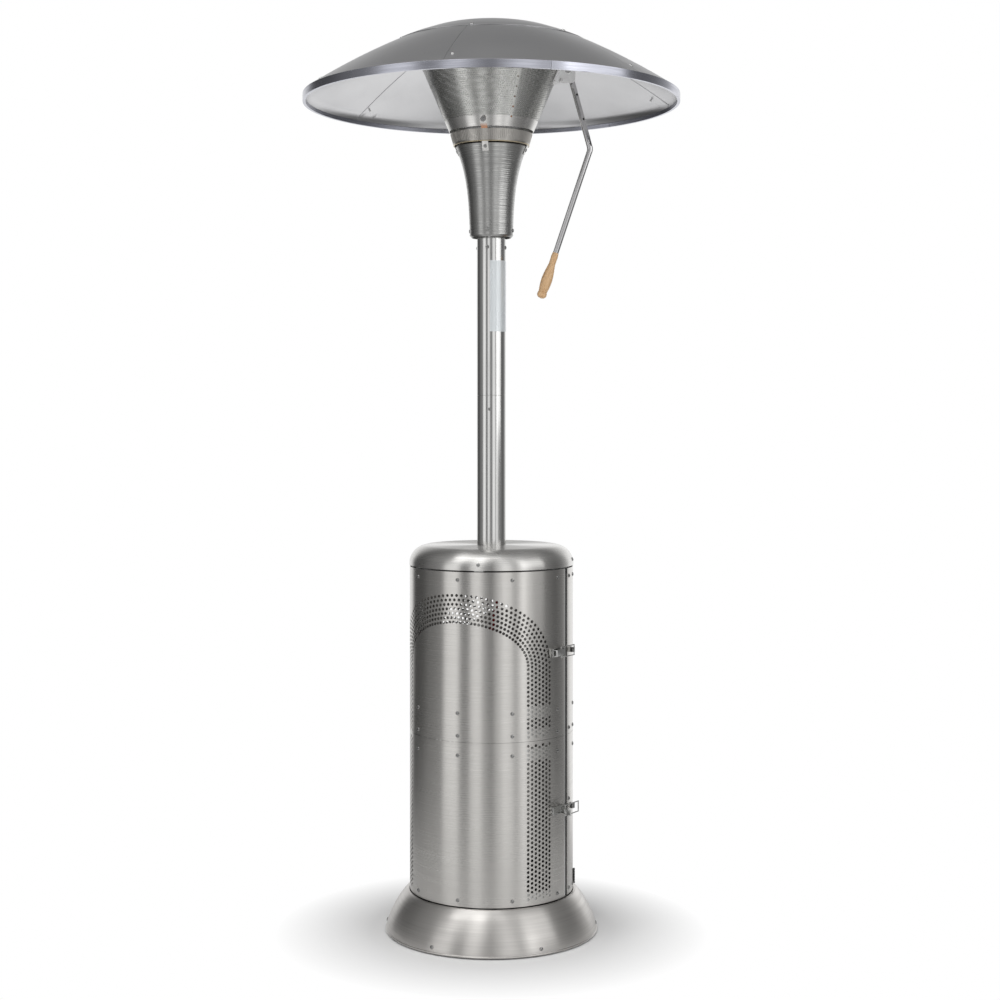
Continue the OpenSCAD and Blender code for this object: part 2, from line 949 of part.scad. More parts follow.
module gas_pipe() {
    color(brassy)
        translate([pipe_off, 0, 0]) {
            tube(pipe_r, pipe_bore, pipe_low, valve_z - valve_h / 2);
            difference() {
                translate([0, 0, top_plate_z - gland_h])
                    cylinder(r = gland_r, h = gland_h, $fn = 6);
                bore((pipe_r + pipe_bore) / 2, top_plate_z - gland_h, top_plate_z);
            }
        }
}

function along(p, k) = let (last = len(p) - 1, d = p[min(k + 1, last)] - p[max(k - 1, 0)])
    d / norm(d);
function across(d) = let (s = cross(d, [0, 1, 0])) s / norm(s);

module gas_hose() {
    rings = [for (k = [0:len(hose_points) - 1])
        let (d = along(hose_points, k), s = across(d), w = cross(d, s))
        for (j = [0:hose_sides - 1]) let (a = 360 * j / hose_sides)
            hose_points[k] + hose_r * (cos(a) * s + sin(a) * w)];
    last = hose_sides * (len(hose_points) - 1);
    color(red)
        polyhedron(rings, concat(
            [[for (j = [hose_sides - 1:-1:0]) j]],
            [for (k = [0:len(hose_points) - 2], j = [0:hose_sides - 1])
                let (a = k * hose_sides, n = (j + 1) % hose_sides)
                [a + j, a + n, a + n + hose_sides, a + j + hose_sides]],
            [[for (j = [0:hose_sides - 1]) last + j]]
        ));
}

module at_regulator() {
    rotate([0, 0, regulator_angle])
        translate([regulator_place, 0, regulator_z])
            children();
}

module regulator() {
    color(dull)
        at_regulator() {
            difference() {
                union() {
                    rod(coupling_r, 0, coupling_h);
                    rod(regulator_r, coupling_h, coupling_h + regulator_h);
                    translate([nozzle_end - regulator_place, 0, coupling_h + regulator_h / 2])
                        rotate([0, 90, 0])
                            cylinder(r = nozzle_r, h = regulator_place - nozzle_end);
                }
                rod(coupling_bore, -overrun, coupling_h);
                bore(tap_r / 2 + run_fit, coupling_h + regulator_h - tap_h / 2 + overrun,
                     coupling_h + regulator_h);
            }
        }
}

module regulator_tap() {
    color(red)
        at_regulator()
            translate([0, 0, coupling_h + regulator_h]) {
                rod(tap_r / 2, seat_gap - tap_h / 2, seat_gap);
                rod(tap_r, seat_gap, seat_gap + tap_h);
                translate([0, -tap_w / 2, seat_gap])
                    cube([tap_l - tap_w / 2, tap_w, tap_h]);
                translate([tap_l - tap_w / 2, 0, 0])
                    rod(tap_w / 2, seat_gap, seat_gap + tap_h);
            }
}

module each_casing_screw() {
    for (a = [0:90:270])
        on_wall(casing_screw_angle + a, casing_low + casing_screw_rise,
                casing_r_at(casing_low + casing_screw_rise + head_r))
            children();
}

module each_strap_screw() {
    rise = strap_low_drop - strap_screw_drop;
    for (a = [0:90:270])
        on_wall(pivot_angle + a, strap_foot[1] + rise,
                strap_foot[0] + strap_foot_slope * rise + strap_t / cos(strap_foot_lean),
                -strap_foot_lean)
            children();
}

module casing_solid(grow = 0) {
    rotate_extrude()
        polygon(concat(
            [[0, casing_low]],
            [for (k = [0:casing_steps]) let (z = casing_low + casing_h * k / casing_steps)
                [casing_r_at(z) + grow, z]],
            [[0, casing_top]]
        ));
}

module burner_casing() {
    color(dull)
        difference() {
            spun(concat(
                [[casing_low_r - lip_w, casing_low - lip_h]],
                [for (k = [0:casing_steps]) let (z = casing_low + casing_h * k / casing_steps)
                    [casing_r_at(z), z]]
            ), casing_t);
            each_casing_screw() screw_hole();
            each_strap_screw() screw_hole();
            on_wall(control_angle, valve_z, 0)
                cylinder(r = stem_r + overrun, h = casing_top_r);
            on_wall(control_angle, casing_low + igniter_z, 0)
                cylinder(r = igniter_r + seat_gap, h = casing_top_r);
        }
}

module casing_screws() {
    color(bright) {
        each_casing_screw() screw();
        each_strap_screw() screw();
    }
}

// Flat bars that lean with the casing, then the collar; two reach up to the tilt bolts
module head_straps() {
    end = [strap_head[0], pivot_z + strap_end_rise];
    short_z = collar_top - collar_gap;
    color(tinted)
        difference() {
            for (a = [0:90:270])
                rotate([90, 0, pivot_angle + a])
                    translate([0, 0, -strap_w / 2])
                        linear_extrude(height = strap_w)
                            polygon(sheet(a % 180 == 0
                                ? [end, strap_head, strap_knee, strap_foot]
                                : [[strap_r_at(short_z), short_z], strap_knee, strap_foot],
                                strap_t));
            for (a = [0, 180])
                on_wall(pivot_angle + a, pivot_z, 0)
                    cylinder(r = pivot_r + hole_fit, h = emitter_r);
            each_strap_screw() screw_hole();
        }
}

module air_collar() {
    color(dull) {
        spun([[collar_low_r, collar_low], [collar_top_r, collar_top]], collar_t);
        translate([0, 0, collar_low + collar_bead])
            rotate_extrude()
                translate([collar_low_r + collar_bead / 3, 0])
                    circle(r = collar_bead);
    }
}

module burner_support() {
    ring_r = casing_r_at(casing_low + casing_screw_rise) - casing_t - seat_gap;
    floor_z = casing_low + support_rise;
    color(dark)
        difference() {
            union() {
                tube(sleeve_r, sleeve_r - sleeve_t, post_top - support_insert, floor_z + support_t);
                tube(ring_r - overrun, sleeve_r - sleeve_t, floor_z, floor_z + support_t);
                tube(ring_r - overrun, ring_r - overrun - support_t, floor_z,
                     floor_z + support_ring_h);
                for (side = [-1, 1])
                    translate([side * support_leg_out - support_leg_t / 2, -support_leg_w / 2,
                               post_top - support_insert])
                        cube([support_leg_t, support_leg_w,
                              valve_z - post_top + support_insert]);
                for (side = [0, 180])
                    rotate([0, 0, side])
                        translate([support_leg_out - support_leg_t / 2, -support_leg_w / 2, floor_z])
                            cube([sleeve_r - support_leg_out, support_leg_w, support_t]);
            }
            each_casing_screw() screw_hole();
            each_top_screw() screw_hole();
            for (k = [0:support_holes - 1])
                rotate([0, 0, (k + 1 / 2) * 360 / support_holes])
                    translate([(ring_r + sleeve_r) / 2 - overrun, 0, 0])
                        bore(support_hole_r, floor_z, floor_z + support_t);
        }
}

module gas_valve() {
    width = 2 * support_leg_out - support_leg_t - 2 * seat_gap;
    color(brassy)
        difference() {
            union() {
                translate([-width / 2, -valve_w / 2, valve_z - valve_h / 2 + seat_gap])
                    cube([width, valve_w, valve_h]);
                on_wall(control_angle, valve_z, 0)
                    cylinder(r = 2 * stem_r, h = casing_r_at(valve_z) - casing_t - overrun);
                rod(injector_r, valve_z + valve_h / 2, valve_z + valve_h / 2 + injector_h);
            }
            on_wall(control_angle, valve_z, valve_w / 2)
                cylinder(r = stem_r + run_fit, h = casing_top_r);
        }
}

module venturi() {
    low = valve_z + valve_h / 2 + venturi_gap;
    color(dull) {
        difference() {
            tube(venturi_r, venturi_r - venturi_t, low, burner_low - seat_gap);
            for (a = [0, 90])
                rotate([0, 0, a])
                    translate([0, 0, low + 2 * venturi_r])
                        rotate([90, 0, 0])
                            bore(venturi_r / 2, -venturi_r, venturi_r);
        }
        tube(venturi_r - venturi_t + overrun, injector_r + run_fit, low, low + venturi_gap);
    }
}

module burner_head() {
    color(dark)
        difference() {
            tube(burner_r, venturi_r - venturi_t, burner_low, burner_low + burner_h);
            translate([0, 0, burner_low + burner_t])
                difference() {
                    cylinder(r = burner_r - burner_t, h = burner_h - 2 * burner_t);
                    cylinder(r = venturi_r, h = burner_t);
                }
            for (k = [0:burner_ports - 1])
                rotate([0, 0, k * 360 / burner_ports])
                    translate([burner_r - 3 * port_r, 0, burner_low + burner_h / 2])
                        cylinder(r = port_r, h = burner_h);
        }
}

module pilot_assembly() {
    low = burner_low + burner_h / 2;
    color(brushed)
        rotate([0, 0, pilot_angle])
            translate([burner_r + seat_gap, 0, 0]) {
                translate([0, -3 * pilot_rod_r - overrun, low])
                    cube([2 * pilot_rod_r + 2 * overrun, 6 * pilot_rod_r + 2 * overrun, burner_t]);
                for (side = [-1, 1])
                    translate([pilot_rod_r + overrun, side * 2 * pilot_rod_r, low - pilot_rod_l / 2])
                        cylinder(r = pilot_rod_r, h = pilot_rod_l);
            }
}

module pivot_bolts() {
    color(bright)
        for (a = [0, 180])
            on_wall(pivot_angle + a, pivot_z, 0) {
                rod(pivot_r, strap_head[0] - nut_h - 2 * seat_gap, bolt_seat_r + seat_gap);
                rod(bolt_head_r, bolt_seat_r, bolt_seat_r + bolt_head_l);
                translate([0, 0, strap_head[0] - seat_gap - nut_h])
                    difference() {
                        cylinder(r = nut_r, h = nut_h, $fn = 6);
                        bore(pivot_r + run_fit, 0, nut_h);
                    }
                tube(bush_r, pivot_r + run_fit, strap_out_r + seat_gap, bush_out_r);
            }
}

module control_bezel() {
    face = casing_r_at(valve_z) + bezel_t;
    igniter_face = casing_r_at(casing_low + igniter_z) + igniter_nut_t;
    color(black) {
        difference() {
            on_wall(control_angle, valve_z, face - bezel_t - bezel_sink)
                cylinder(r = bezel_r, h = bezel_t + bezel_sink);
            casing_solid(seat_gap);
            on_wall(control_angle, valve_z, 0)
                cylinder(r = stem_r + overrun, h = face + overrun);
        }
        difference() {
            union() {
                on_wall(control_angle, casing_low + igniter_z, igniter_face - igniter_l)
                    cylinder(r = igniter_r, h = igniter_l);
                difference() {
                    on_wall(control_angle, casing_low + igniter_z, igniter_face - igniter_nut_t)
                        cylinder(r = igniter_nut_r, h = igniter_nut_t);
                    casing_solid(seat_gap);
                }
            }
            on_wall(control_angle, casing_low + igniter_z, igniter_face - button_l)
                cylinder(r = button_r + run_fit, h = button_l + overrun);
        }
    }
}

module control_knob() {
    face = casing_r_at(valve_z) + bezel_t + knob_gap;
    color(black)
        on_wall(control_angle, valve_z, face) {
            translate([0, 0, -knob_gap - bezel_t - stem_l - casing_t])
                cylinder(r = stem_r, h = knob_gap + bezel_t + stem_l + casing_t + overrun);
            difference() {
                cylinder(r = knob_r, h = knob_l);
                for (k = [0:knob_ridges - 1])
                    rotate([0, 0, k * 360 / knob_ridges])
                        translate([knob_r + ridge_r / 2, 0, knob_l / 4])
                            cylinder(r = ridge_r, h = knob_l);
            }
            translate([-knob_r + 2 * ridge_r, -ridge_r, knob_l - overrun])
                cube([knob_r, 2 * ridge_r, 2 * overrun]);
        }
}

module igniter_button() {
    face = casing_r_at(casing_low + igniter_z) + igniter_nut_t;
    color(red)
        on_wall(control_angle, casing_low + igniter_z, face - button_l + button_travel + seat_gap)
            cylinder(r = button_r, h = button_l - button_travel - seat_gap + button_out);
}

module at_hinge(z) {
    rotate([0, 0, hinge_angle])
        translate([housing_r, 0, z])
            children();
}

module hinge_leaf(side) {
    difference() {
        translate([-leaf_sink, side > 0 ? leaf_clear : -leaf_w - leaf_clear, -hinge_l / 2])
            cube([leaf_sink + leaf_t, leaf_w, hinge_l]);
        translate([-housing_r, 0, -hinge_l])
            cylinder(r = housing_r + run_fit, h = 2 * hinge_l, $fn = housing_facets);
    }
    translate([0, side > 0 ? 0 : -barrel_r - leaf_clear, -hinge_l / 2])
        cube([barrel_out, barrel_r + leaf_clear, hinge_l]);
}

// Knuckle room of one leaf, left to the other leaf
module knuckle_cut(low, high) {
    translate([-overrun, -barrel_r - knuckle_gap, low])
        cube([barrel_out + barrel_r + 2 * overrun, 2 * barrel_r + 2 * knuckle_gap, high - low]);
}

module hinge_frame_leaves() {
    third = hinge_l / 6;
    color(brushed)
        for (z = [hinge_low_z, hinge_high_z])
            at_hinge(z) {
                difference() {
                    union() {
                        hinge_leaf(1);
                        for (low = [-hinge_l / 2, third])
                            translate([barrel_out, 0, low])
                                cylinder(r = barrel_r, h = hinge_l / 2 - third);
                    }
                    knuckle_cut(-third - knuckle_gap, third + knuckle_gap);
                }
                translate([barrel_out, 0, -hinge_l / 2])
                    cylinder(r = hinge_pin_r, h = hinge_l);
            }
}

module hinge_door_leaves() {
    third = hinge_l / 6;
    color(brushed)
        for (z = [hinge_low_z, hinge_high_z])
            at_hinge(z)
                difference() {
                    union() {
                        hinge_leaf(-1);
                        translate([barrel_out, 0, -third])
                            cylinder(r = barrel_r, h = 2 * third);
                    }
                    knuckle_cut(-hinge_l, -third);
                    knuckle_cut(third, hinge_l);
                    translate([barrel_out, 0, -hinge_l])
                        cylinder(r = hinge_pin_r + run_fit, h = 2 * hinge_l);
                }
}

// Stands on the housing with +X outward, +Y towards the door and +Z up
module at_latch(z) {
    rotate([0, 0, latch_angle])
        translate([housing_r, 0, z])
            children();
}

module latch_bases() {
    color(bright)
        for (z = [latch_high_z, latch_low_z])
            at_latch(z) {
                difference() {
                    translate([-latch_sink, latch_base_back, -latch_h / 2])
                        cube([latch_sink + latch_base_t, latch_base_front - latch_base_back,
                              latch_h]);
                    translate([-housing_r, 0, -latch_h])
                        cylinder(r = housing_r + run_fit, h = 2 * latch_h, $fn = housing_facets);
                }
                for (side = [-1, 1])
                    translate([0, pin_along - ear_w / 2,
                               side * (latch_h - ear_t) / 2 - ear_t / 2])
                        cube([ear_top, ear_w, ear_t]);
                translate([pin_out, pin_along, -latch_h / 2])
                    cylinder(r = latch_pin_r, h = latch_h);
            }
}

// Lever of a latch in its closed place, about its pin
module latch_lever_shape() {
    difference() {
        union() {
            translate([-lever_low_face, -latch_lever_l, -lever_w / 2])
                cube([lever_low_face + lever_high_face, latch_lever_l + lever_nose, lever_w]);
            translate([lever_high_face - overrun, -latch_lever_l, -lever_w / 2])
                cube([3 * overrun, 2 * overrun, lever_w]);
        }
        translate([-lever_low_face - overrun, -latch_lever_l - overrun,
                   -lever_w / 2 + lever_wall])
            cube([lever_low_face + lever_high_face - lever_wall + overrun,
                  latch_lever_l - loop_back - 2 * latch_pin_r, lever_w - 2 * lever_wall]);
        translate([0, 0, -lever_w])
            cylinder(r = latch_pin_r + run_fit, h = 2 * lever_w);
        translate([0, -loop_back, -lever_w])
            cylinder(r = wire_r + run_fit, h = 2 * lever_w);
    }
}

module latch_lever(z, open) {
    color(bright)
        at_latch(z)
            translate([pin_out, pin_along, 0])
                rotate([0, 0, open])
                    latch_lever_shape();
}

// Wire loop whose far bar rests on the keeper's lip when closed
module latch_loop(z, open) {
    back = [pin_out + loop_back * sin(open), pin_along - loop_back * cos(open)];
    lean = asin((loop_rest_out - pin_out) / latch_loop_l);
    color(bright)
        at_latch(z)
            translate([back[0], back[1], 0])
                rotate([0, 0, -lean]) {
                    for (side = [-1, 1])
                        translate([0, 0, side * wire_half]) {
                            rotate([-90, 0, 0])
                                cylinder(r = wire_r, h = latch_loop_l);
                            sphere(r = wire_r);
                            translate([0, latch_loop_l, 0])
                                sphere(r = wire_r);
                            translate([0, 0, side > 0 ? loop_end_in - wire_half : 0])
                                cylinder(r = wire_r, h = wire_half - loop_end_in);
                        }
                    translate([0, latch_loop_l, -wire_half])
                        cylinder(r = wire_r, h = 2 * wire_half);
                }
}

module upper_latch_lever() latch_lever(latch_high_z, 0);
module upper_latch_loop() latch_loop(latch_high_z, 0);
module lower_latch_lever() latch_lever(latch_low_z, open_angle);
module lower_latch_loop() latch_loop(latch_low_z, open_angle);

module latch_keepers() {
    color(bright)
        for (z = [latch_high_z, latch_low_z])
            at_latch(z)
                difference() {
                    union() {
                        translate([-2 * latch_sink, keeper_from, -keeper_w / 2])
                            cube([2 * latch_sink + keeper_h, keeper_t, keeper_w]);
                        translate([keeper_h - keeper_t, keeper_from, -keeper_w / 2])
                            cube([keeper_t, keeper_to - keeper_from, keeper_w]);
                        translate([-2 * latch_sink, keeper_from, -keeper_w / 2])
                            cube([2 * latch_sink - keeper_t, keeper_foot_to - keeper_from, keeper_w]);
                    }
                    translate([-housing_r, 0, -latch_h])
                        cylinder(r = housing_r + run_fit, h = 2 * latch_h, $fn = housing_facets);
                }
}

module door_upper_panel() {
    panel(seam_z + seam_gap, housing_top, door_from, door_to)
        each_door_screw() screw_hole();
}

module door_lower_panel() {
    panel(panel_low, seam_z - seam_gap, door_from, door_to)
        each_door_screw() screw_hole();
}

// One curved sheet with a window between each two of its hoops
module door_frame() {
    rows = concat(front_rows_high, front_rows_low);
    from = door_from + reveal_angle;
    to = door_to - reveal_angle;
    color(bright)
        difference() {
            arc_band(hoop_r, hoop_in_r, panel_low, housing_top, from, to);
            for (k = [0:len(rows) - 2])
                arc_band(hoop_r + overrun, hoop_in_r - overrun, rows[k + 1] + hoop_h / 2,
                         rows[k] - hoop_h / 2, from + stile_angle, to - stile_angle);
            each_door_screw() screw_hole();
        }
}

module door_screws() {
    color(bright)
        each_door_screw() screw();
}

module door_buffer() {
    rib = buffer_h / (2 * buffer_ribs + 1);
    color(black)
        difference() {
            rotate([0, 0, buffer_angle])
                translate([housing_r - overrun, -buffer_w / 2, buffer_z - buffer_h / 2])
                    difference() {
                        cube([buffer_out + overrun, buffer_w, buffer_h]);
                        for (k = [0:buffer_ribs - 1])
                            translate([buffer_out / 2 + overrun, -overrun, (2 * k + 1) * rib])
                                cube([buffer_out, buffer_w + 2 * overrun, rib]);
                    }
            translate([0, 0, panel_low])
                cylinder(r = housing_r + run_fit, h = 2 * buffer_z, $fn = housing_facets);
        }
}

module emitter_cone() {
    color(dull)
        difference() {
            spun([[emitter_r, emitter_low], [emitter_r_at(emitter_top), emitter_top]], emitter_t);
            rod(2 * emitter_r, emitter_top, emitter_top + overrun);
            for (a = [0, 180])
                on_wall(pivot_angle + a, pivot_z, 0)
                    cylinder(r = pivot_r + run_fit, h = 2 * emitter_r);
            each_bracket_rivet() rivet_hole();
            each_lap_rivet() rivet_hole();
        }
}

module rivet_hole() {
    bore(rivet_r / 2 + run_fit, -emitter_t - overrun, overrun);
}

module each_lap_rivet() {
    for (k = [1:lap_rivets])
        let (z = emitter_low + k * emitter_h / (lap_rivets + 1))
            on_wall(lap_angle, z, emitter_r_at(z), -emitter_lean) children();
}

module emitter_lid() {
    top_r = emitter_r_at(emitter_top) + lid_over;
    color(pale)
        difference() {
            union() {
                translate([0, 0, emitter_top])
                    cylinder(r = top_r, h = lid_t);
                tube(top_r, top_r - lid_t, emitter_top - lid_drop, emitter_top + lid_t / 2);
            }
            each_pillar() bore(shank_r + hole_fit, 0, lid_t);
        }
}

module pivot_plates() {
    color(bright)
        for (a = [0, 180])
            difference() {
                on_wall(pivot_angle + a, emitter_low, emitter_r + strap_seat, -emitter_lean) {
                    translate([-pivot_rise / cos(emitter_lean), -plate_w / 2, 0])
                        cube([pivot_rise / cos(emitter_lean), plate_w, plate_thick]);
                    translate([-pivot_rise / cos(emitter_lean), 0, 0])
                        cylinder(r = plate_w / 2, h = plate_thick);
                }
                on_wall(pivot_angle + a, pivot_z, 0)
                    cylinder(r = pivot_r + run_fit, h = 2 * emitter_r);
            }
}

module head_rivets() {
    color(tinted) {
        each_lap_rivet() rivet(emitter_t + rivet_h);
        each_bracket_rivet()
            translate([0, 0, bracket_t + seat_gap]) rivet(bracket_t + emitter_t + rivet_h);
    }
}

function dome_points() = concat(
    [[reflector_r, edge_z - reflector_edge_h]],
    [for (k = [0:panel_steps]) let (r = reflector_r + (panel_in_r - reflector_r) * k / panel_steps)
        [r, dome_z(r)]]
);
function lowered(p, t) = [for (k = [0:len(p) - 1]) p[k] + t * bisector(p, k)];

module dome_sector(p, t, from, to) {
    rotate([0, 0, from])
        rotate_extrude(angle = to - from)
            polygon(sheet(p, t));
}

module each_seam() {
    step = 360 / reflector_panels_n;
    for (k = [0:reflector_panels_n - 1])
        rotate([0, 0, seam_angle + k * step])
            children();
}

// Panels side by side, with a narrow strip under each seam
module reflector_panels() {
    step = 360 / reflector_panels_n;
    color(pale)
        difference() {
            each_seam() {
                dome_sector(dome_points(), reflector_t, 0, step - play_angle);
                dome_sector(lowered(dome_points(), reflector_t + lap_gap), reflector_t,
                            -lap_turn, lap_turn);
            }
            each_dome_screw() screw_hole();
        }
}

// A screw beside each seam near the rim, and one through the top disc's edge
module each_dome_screw() {
    each_seam() {
        on_dome(seam_screw_turn, reflector_r - seam_screw_in) children();
        on_dome(seam_screw_turn, disc_r - disc_screw_in) children();
    }
}

module reflector_rim() {
    step = 360 / reflector_panels_n;
    low = edge_z - reflector_edge_h - seat_gap - rim_t;
    outer = reflector_r + seat_gap + rim_t;
    color(bright)
        for (k = [0:reflector_panels_n - 1])
            rotate([0, 0, seam_angle + (k + 1 / 2) * step])
                rotate_extrude(angle = step - rim_gap_angle)
                    polygon([
                        [outer, low], [outer, edge_z - seat_gap], [outer - rim_t, edge_z - seat_gap],
                        [outer - rim_t, low + rim_t], [outer - rim_w, low + rim_t],
                        [outer - rim_w, edge_z - reflector_edge_h / 2],
                        [outer - rim_w - rim_t, edge_z - reflector_edge_h / 2],
                        [outer - rim_w - rim_t, low]
                    ]);
}

function disc_points() = let (lift = reflector_t + seat_gap) [
    [disc_r, dome_z(disc_r) + lift / cos(dome_lean(disc_r))],
    [panel_in_r, dome_z(panel_in_r) + lift / cos(dome_lean(panel_in_r))],
    [disc_knee_r, disc_top - disc_knee_drop],
    [disc_flat_r, disc_top],
    [0, disc_top]
];

module reflector_disc() {
    color(pale)
        difference() {
            spun(disc_points(), reflector_t);
            each_dome_screw() translate([0, 0, 2 * reflector_t]) screw_hole();
            each_pillar()
                bore(shank_r + hole_fit, disc_top - emitter_top - reflector_t,
                     disc_top - emitter_top);
        }
}

module each_pillar() {
    for (k = [0:pillar_count - 1])
        rotate([0, 0, (k + 1 / 2) * 360 / pillar_count])
            translate([pillar_place, 0, emitter_top])
                children();
}

module reflector_pillars() {
    color(pale)
        each_pillar()
            difference() {
                rod(pillar_r, lid_t, disc_top - emitter_top - reflector_t);
                bore(shank_r + hole_fit, lid_t, disc_top - emitter_top - reflector_t);
            }
}

module head_bolts() {
    color(bright) {
        each_seam() {
            on_dome(seam_screw_turn, reflector_r - seam_screw_in) screw();
            on_dome(seam_screw_turn, disc_r - disc_screw_in, reflector_t + 2 * seat_gap) screw();
        }
        each_pillar()
            translate([0, 0, disc_top - emitter_top])
                screw(shank_l + reflector_t);
        lever_plane() {
            translate([plate_screw[0], 0, plate_screw[1]])
                rotate([90, 0, 0])
                    screw();
            translate([lever_bolt_r, -bolt_head_l - seat_gap, lever_bolt_height])
                rotate([-90, 0, 0]) {
                    cylinder(r = lever_bolt_radius,
                             h = 2 * lever_r + bracket_t + 3 * bolt_head_l + seat_gap);
                    cylinder(r = 2 * lever_bolt_radius - overrun, h = bolt_head_l, $fn = 6);
                    translate([0, 0, 2 * lever_r + bracket_t + bolt_head_l + 3 * seat_gap])
                        cylinder(r = 2 * lever_bolt_radius - overrun, h = bolt_head_l, $fn = 6);
                }
        }
    }
}

// +X outward, +Z up, +Y across the lever's plane
module lever_plane() {
    rotate([0, 0, lever_angle]) children();
}

module each_bracket_rivet() {
    for (z = [bracket_low + 2 * rivet_h + rivet_r, bracket_high - 2 * rivet_h - rivet_r],
         side = [-1, 1])
        lever_plane()
            translate([emitter_r_at(z) + strap_seat, 0, z])
                rotate([0, 90 + emitter_lean, 0])
                    translate([0, side * (bracket_w / 2 - 2 * rivet_r), 0])
                        children();
}

module lever_bracket() {
    mid = (bracket_low + bracket_high) / 2;
    tall = (bracket_high - bracket_low) / cos(emitter_lean);
    foot = bracket_t + seat_gap;
    color(bright)
        lever_plane()
            difference() {
                union() {
                    translate([emitter_r_at(mid), 0, mid])
                        rotate([0, 90 + emitter_lean, 0])
                            translate([-tall / 2, -bracket_w / 2, seat_gap])
                                cube([tall, bracket_w, bracket_t]);
                    rotate([90, 0, 0])
                        translate([0, 0, -bracket_t])
                            linear_extrude(height = bracket_t)
                                polygon([
                                    [emitter_r_at(bracket_low) + foot, bracket_low],
                                    [bracket_out - foot * 2, bracket_low],
                                    [bracket_out, bracket_low + foot * 2],
                                    [bracket_out, bracket_high],
                                    [emitter_r_at(bracket_high) + foot, bracket_high]
                                ]);
                }
                translate([lever_bolt_r, -bracket_w, lever_bolt_height])
                    rotate([-90, 0, 0])
                        cylinder(r = lever_bolt_radius + hole_fit, h = 2 * bracket_w);
                translate([plate_screw[0], 0, plate_screw[1]])
                    rotate([90, 0, 0])
                        screw_hole();
                rotate([0, 0, -lever_angle])
                    each_bracket_rivet()
                        translate([0, 0, -overrun])
                            cylinder(r = rivet_r / 2 + run_fit, h = 2 * foot);
            }
}

// Bent piece of tube between the lever's two straight lengths
module lever_elbow() {
    turn = lever_upper_lean + lever_lower_lean;
    place = lever_bend - lever_elbow_r / cos(turn / 2)
        * [cos((lever_upper_lean - lever_lower_lean) / 2),
           sin((lever_upper_lean - lever_lower_lean) / 2)];
    translate([place[0], lever_side, place[1]])
        rotate([90, 0, 0])
            rotate([0, 0, -lever_lower_lean])
                rotate_extrude(angle = turn)
                    translate([lever_elbow_r, 0])
                        circle(r = lever_r + lever_swell);
}

module lever_part(from, to, radius) {
    d = to - from;
    translate([from[0], lever_side, from[1]])
        rotate([0, atan2(d[0], d[1]), 0])
            cylinder(r = radius, h = norm(d));
}

module lever_rod() {
    bolt = [lever_bolt_r, lever_bolt_height];
    up = (bolt - lever_bend) / norm(bolt - lever_bend);
    down = (lever_end - lever_bend) / norm(lever_end - lever_bend);
    cut = lever_elbow_r * tan((lever_upper_lean + lever_lower_lean) / 2);
    color(pale)
        lever_plane()
            difference() {
                union() {
                    lever_part(lever_bend + (cut - overrun) * up, bolt + lever_over * up, lever_r);
                    lever_part(lever_end, lever_bend + (cut - overrun) * down, lever_r);
                    lever_elbow();
                }
                lever_part(lever_bend + lever_r * up, bolt + (lever_over + overrun) * up,
                           lever_bore);
                translate([lever_bolt_r, lever_side - 2 * lever_r, lever_bolt_height])
                    rotate([-90, 0, 0])
                        cylinder(r = lever_bolt_radius + hole_fit, h = 4 * lever_r);
                for (k = [1:lever_holes])
                    let (p = bolt - k * lever_hole_step * up)
                        translate([p[0], lever_side, p[1]])
                            rotate([0, -lever_upper_lean, 0])
                                rotate([0, 0, lever_hole_turn])
                                    rotate([90, 0, 0])
                                        translate([0, 0, -2 * lever_r])
                                            cylinder(r = lever_hole_r, h = 4 * lever_r);
            }
}

module lever_grip() {
    last = len(grip_shares) - 1;
    d = -[sin(lever_lower_lean), cos(lever_lower_lean)];
    color(timber)
        lever_plane()
            translate([lever_end[0], lever_side, lever_end[1]])
                rotate([0, atan2(d[0], d[1]), 0])
                    rotate_extrude()
                        polygon(concat(
                            [[0, 0]],
                            [for (k = [0:last]) [grip_r * grip_shares[k], grip_l * k / last]],
                            [[0, grip_l]]
                        ));
}

rubber_pads();
ground_plate();
ballast_ring();
foot_skirt();
seating_ring();
frame_posts();
front_hoops();
front_upper_panel();
front_lower_panel();
housing_screws();
top_plate();
housing_cap();
post_socket();
post_lower();
post_sleeve();
post_upper();
post_screws();
label_film();
gas_pipe();
gas_hose();
regulator();
burner_casing();
casing_screws();
burner_support();
gas_valve();
venturi();
burner_head();
pilot_assembly();
air_collar();
head_straps();
pivot_bolts();
control_bezel();
hinge_frame_leaves();
latch_bases();
emitter_cone();
emitter_lid();
pivot_plates();
head_rivets();
reflector_panels();
reflector_rim();
reflector_disc();
head_bolts();
reflector_pillars();
lever_bracket();
lever_rod();
lever_grip();
door_upper_panel();
door_lower_panel();
door_frame();
door_screws();
hinge_door_leaves();
latch_keepers();
door_buffer();
upper_latch_lever();
upper_latch_loop();
lower_latch_lever();
lower_latch_loop();
control_knob();
igniter_button();
regulator_tap();
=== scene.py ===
"""Looks of a free-standing gas patio heater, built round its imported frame.

Lengths are in metres, angles in degrees from +X towards +Y, heights above the ground.
"""

import json
import logging
import math
from collections.abc import Callable, Iterable, Sequence
from dataclasses import dataclass
from enum import Enum
from types import SimpleNamespace

import bmesh
import bpy
from mathutils import Matrix, Vector

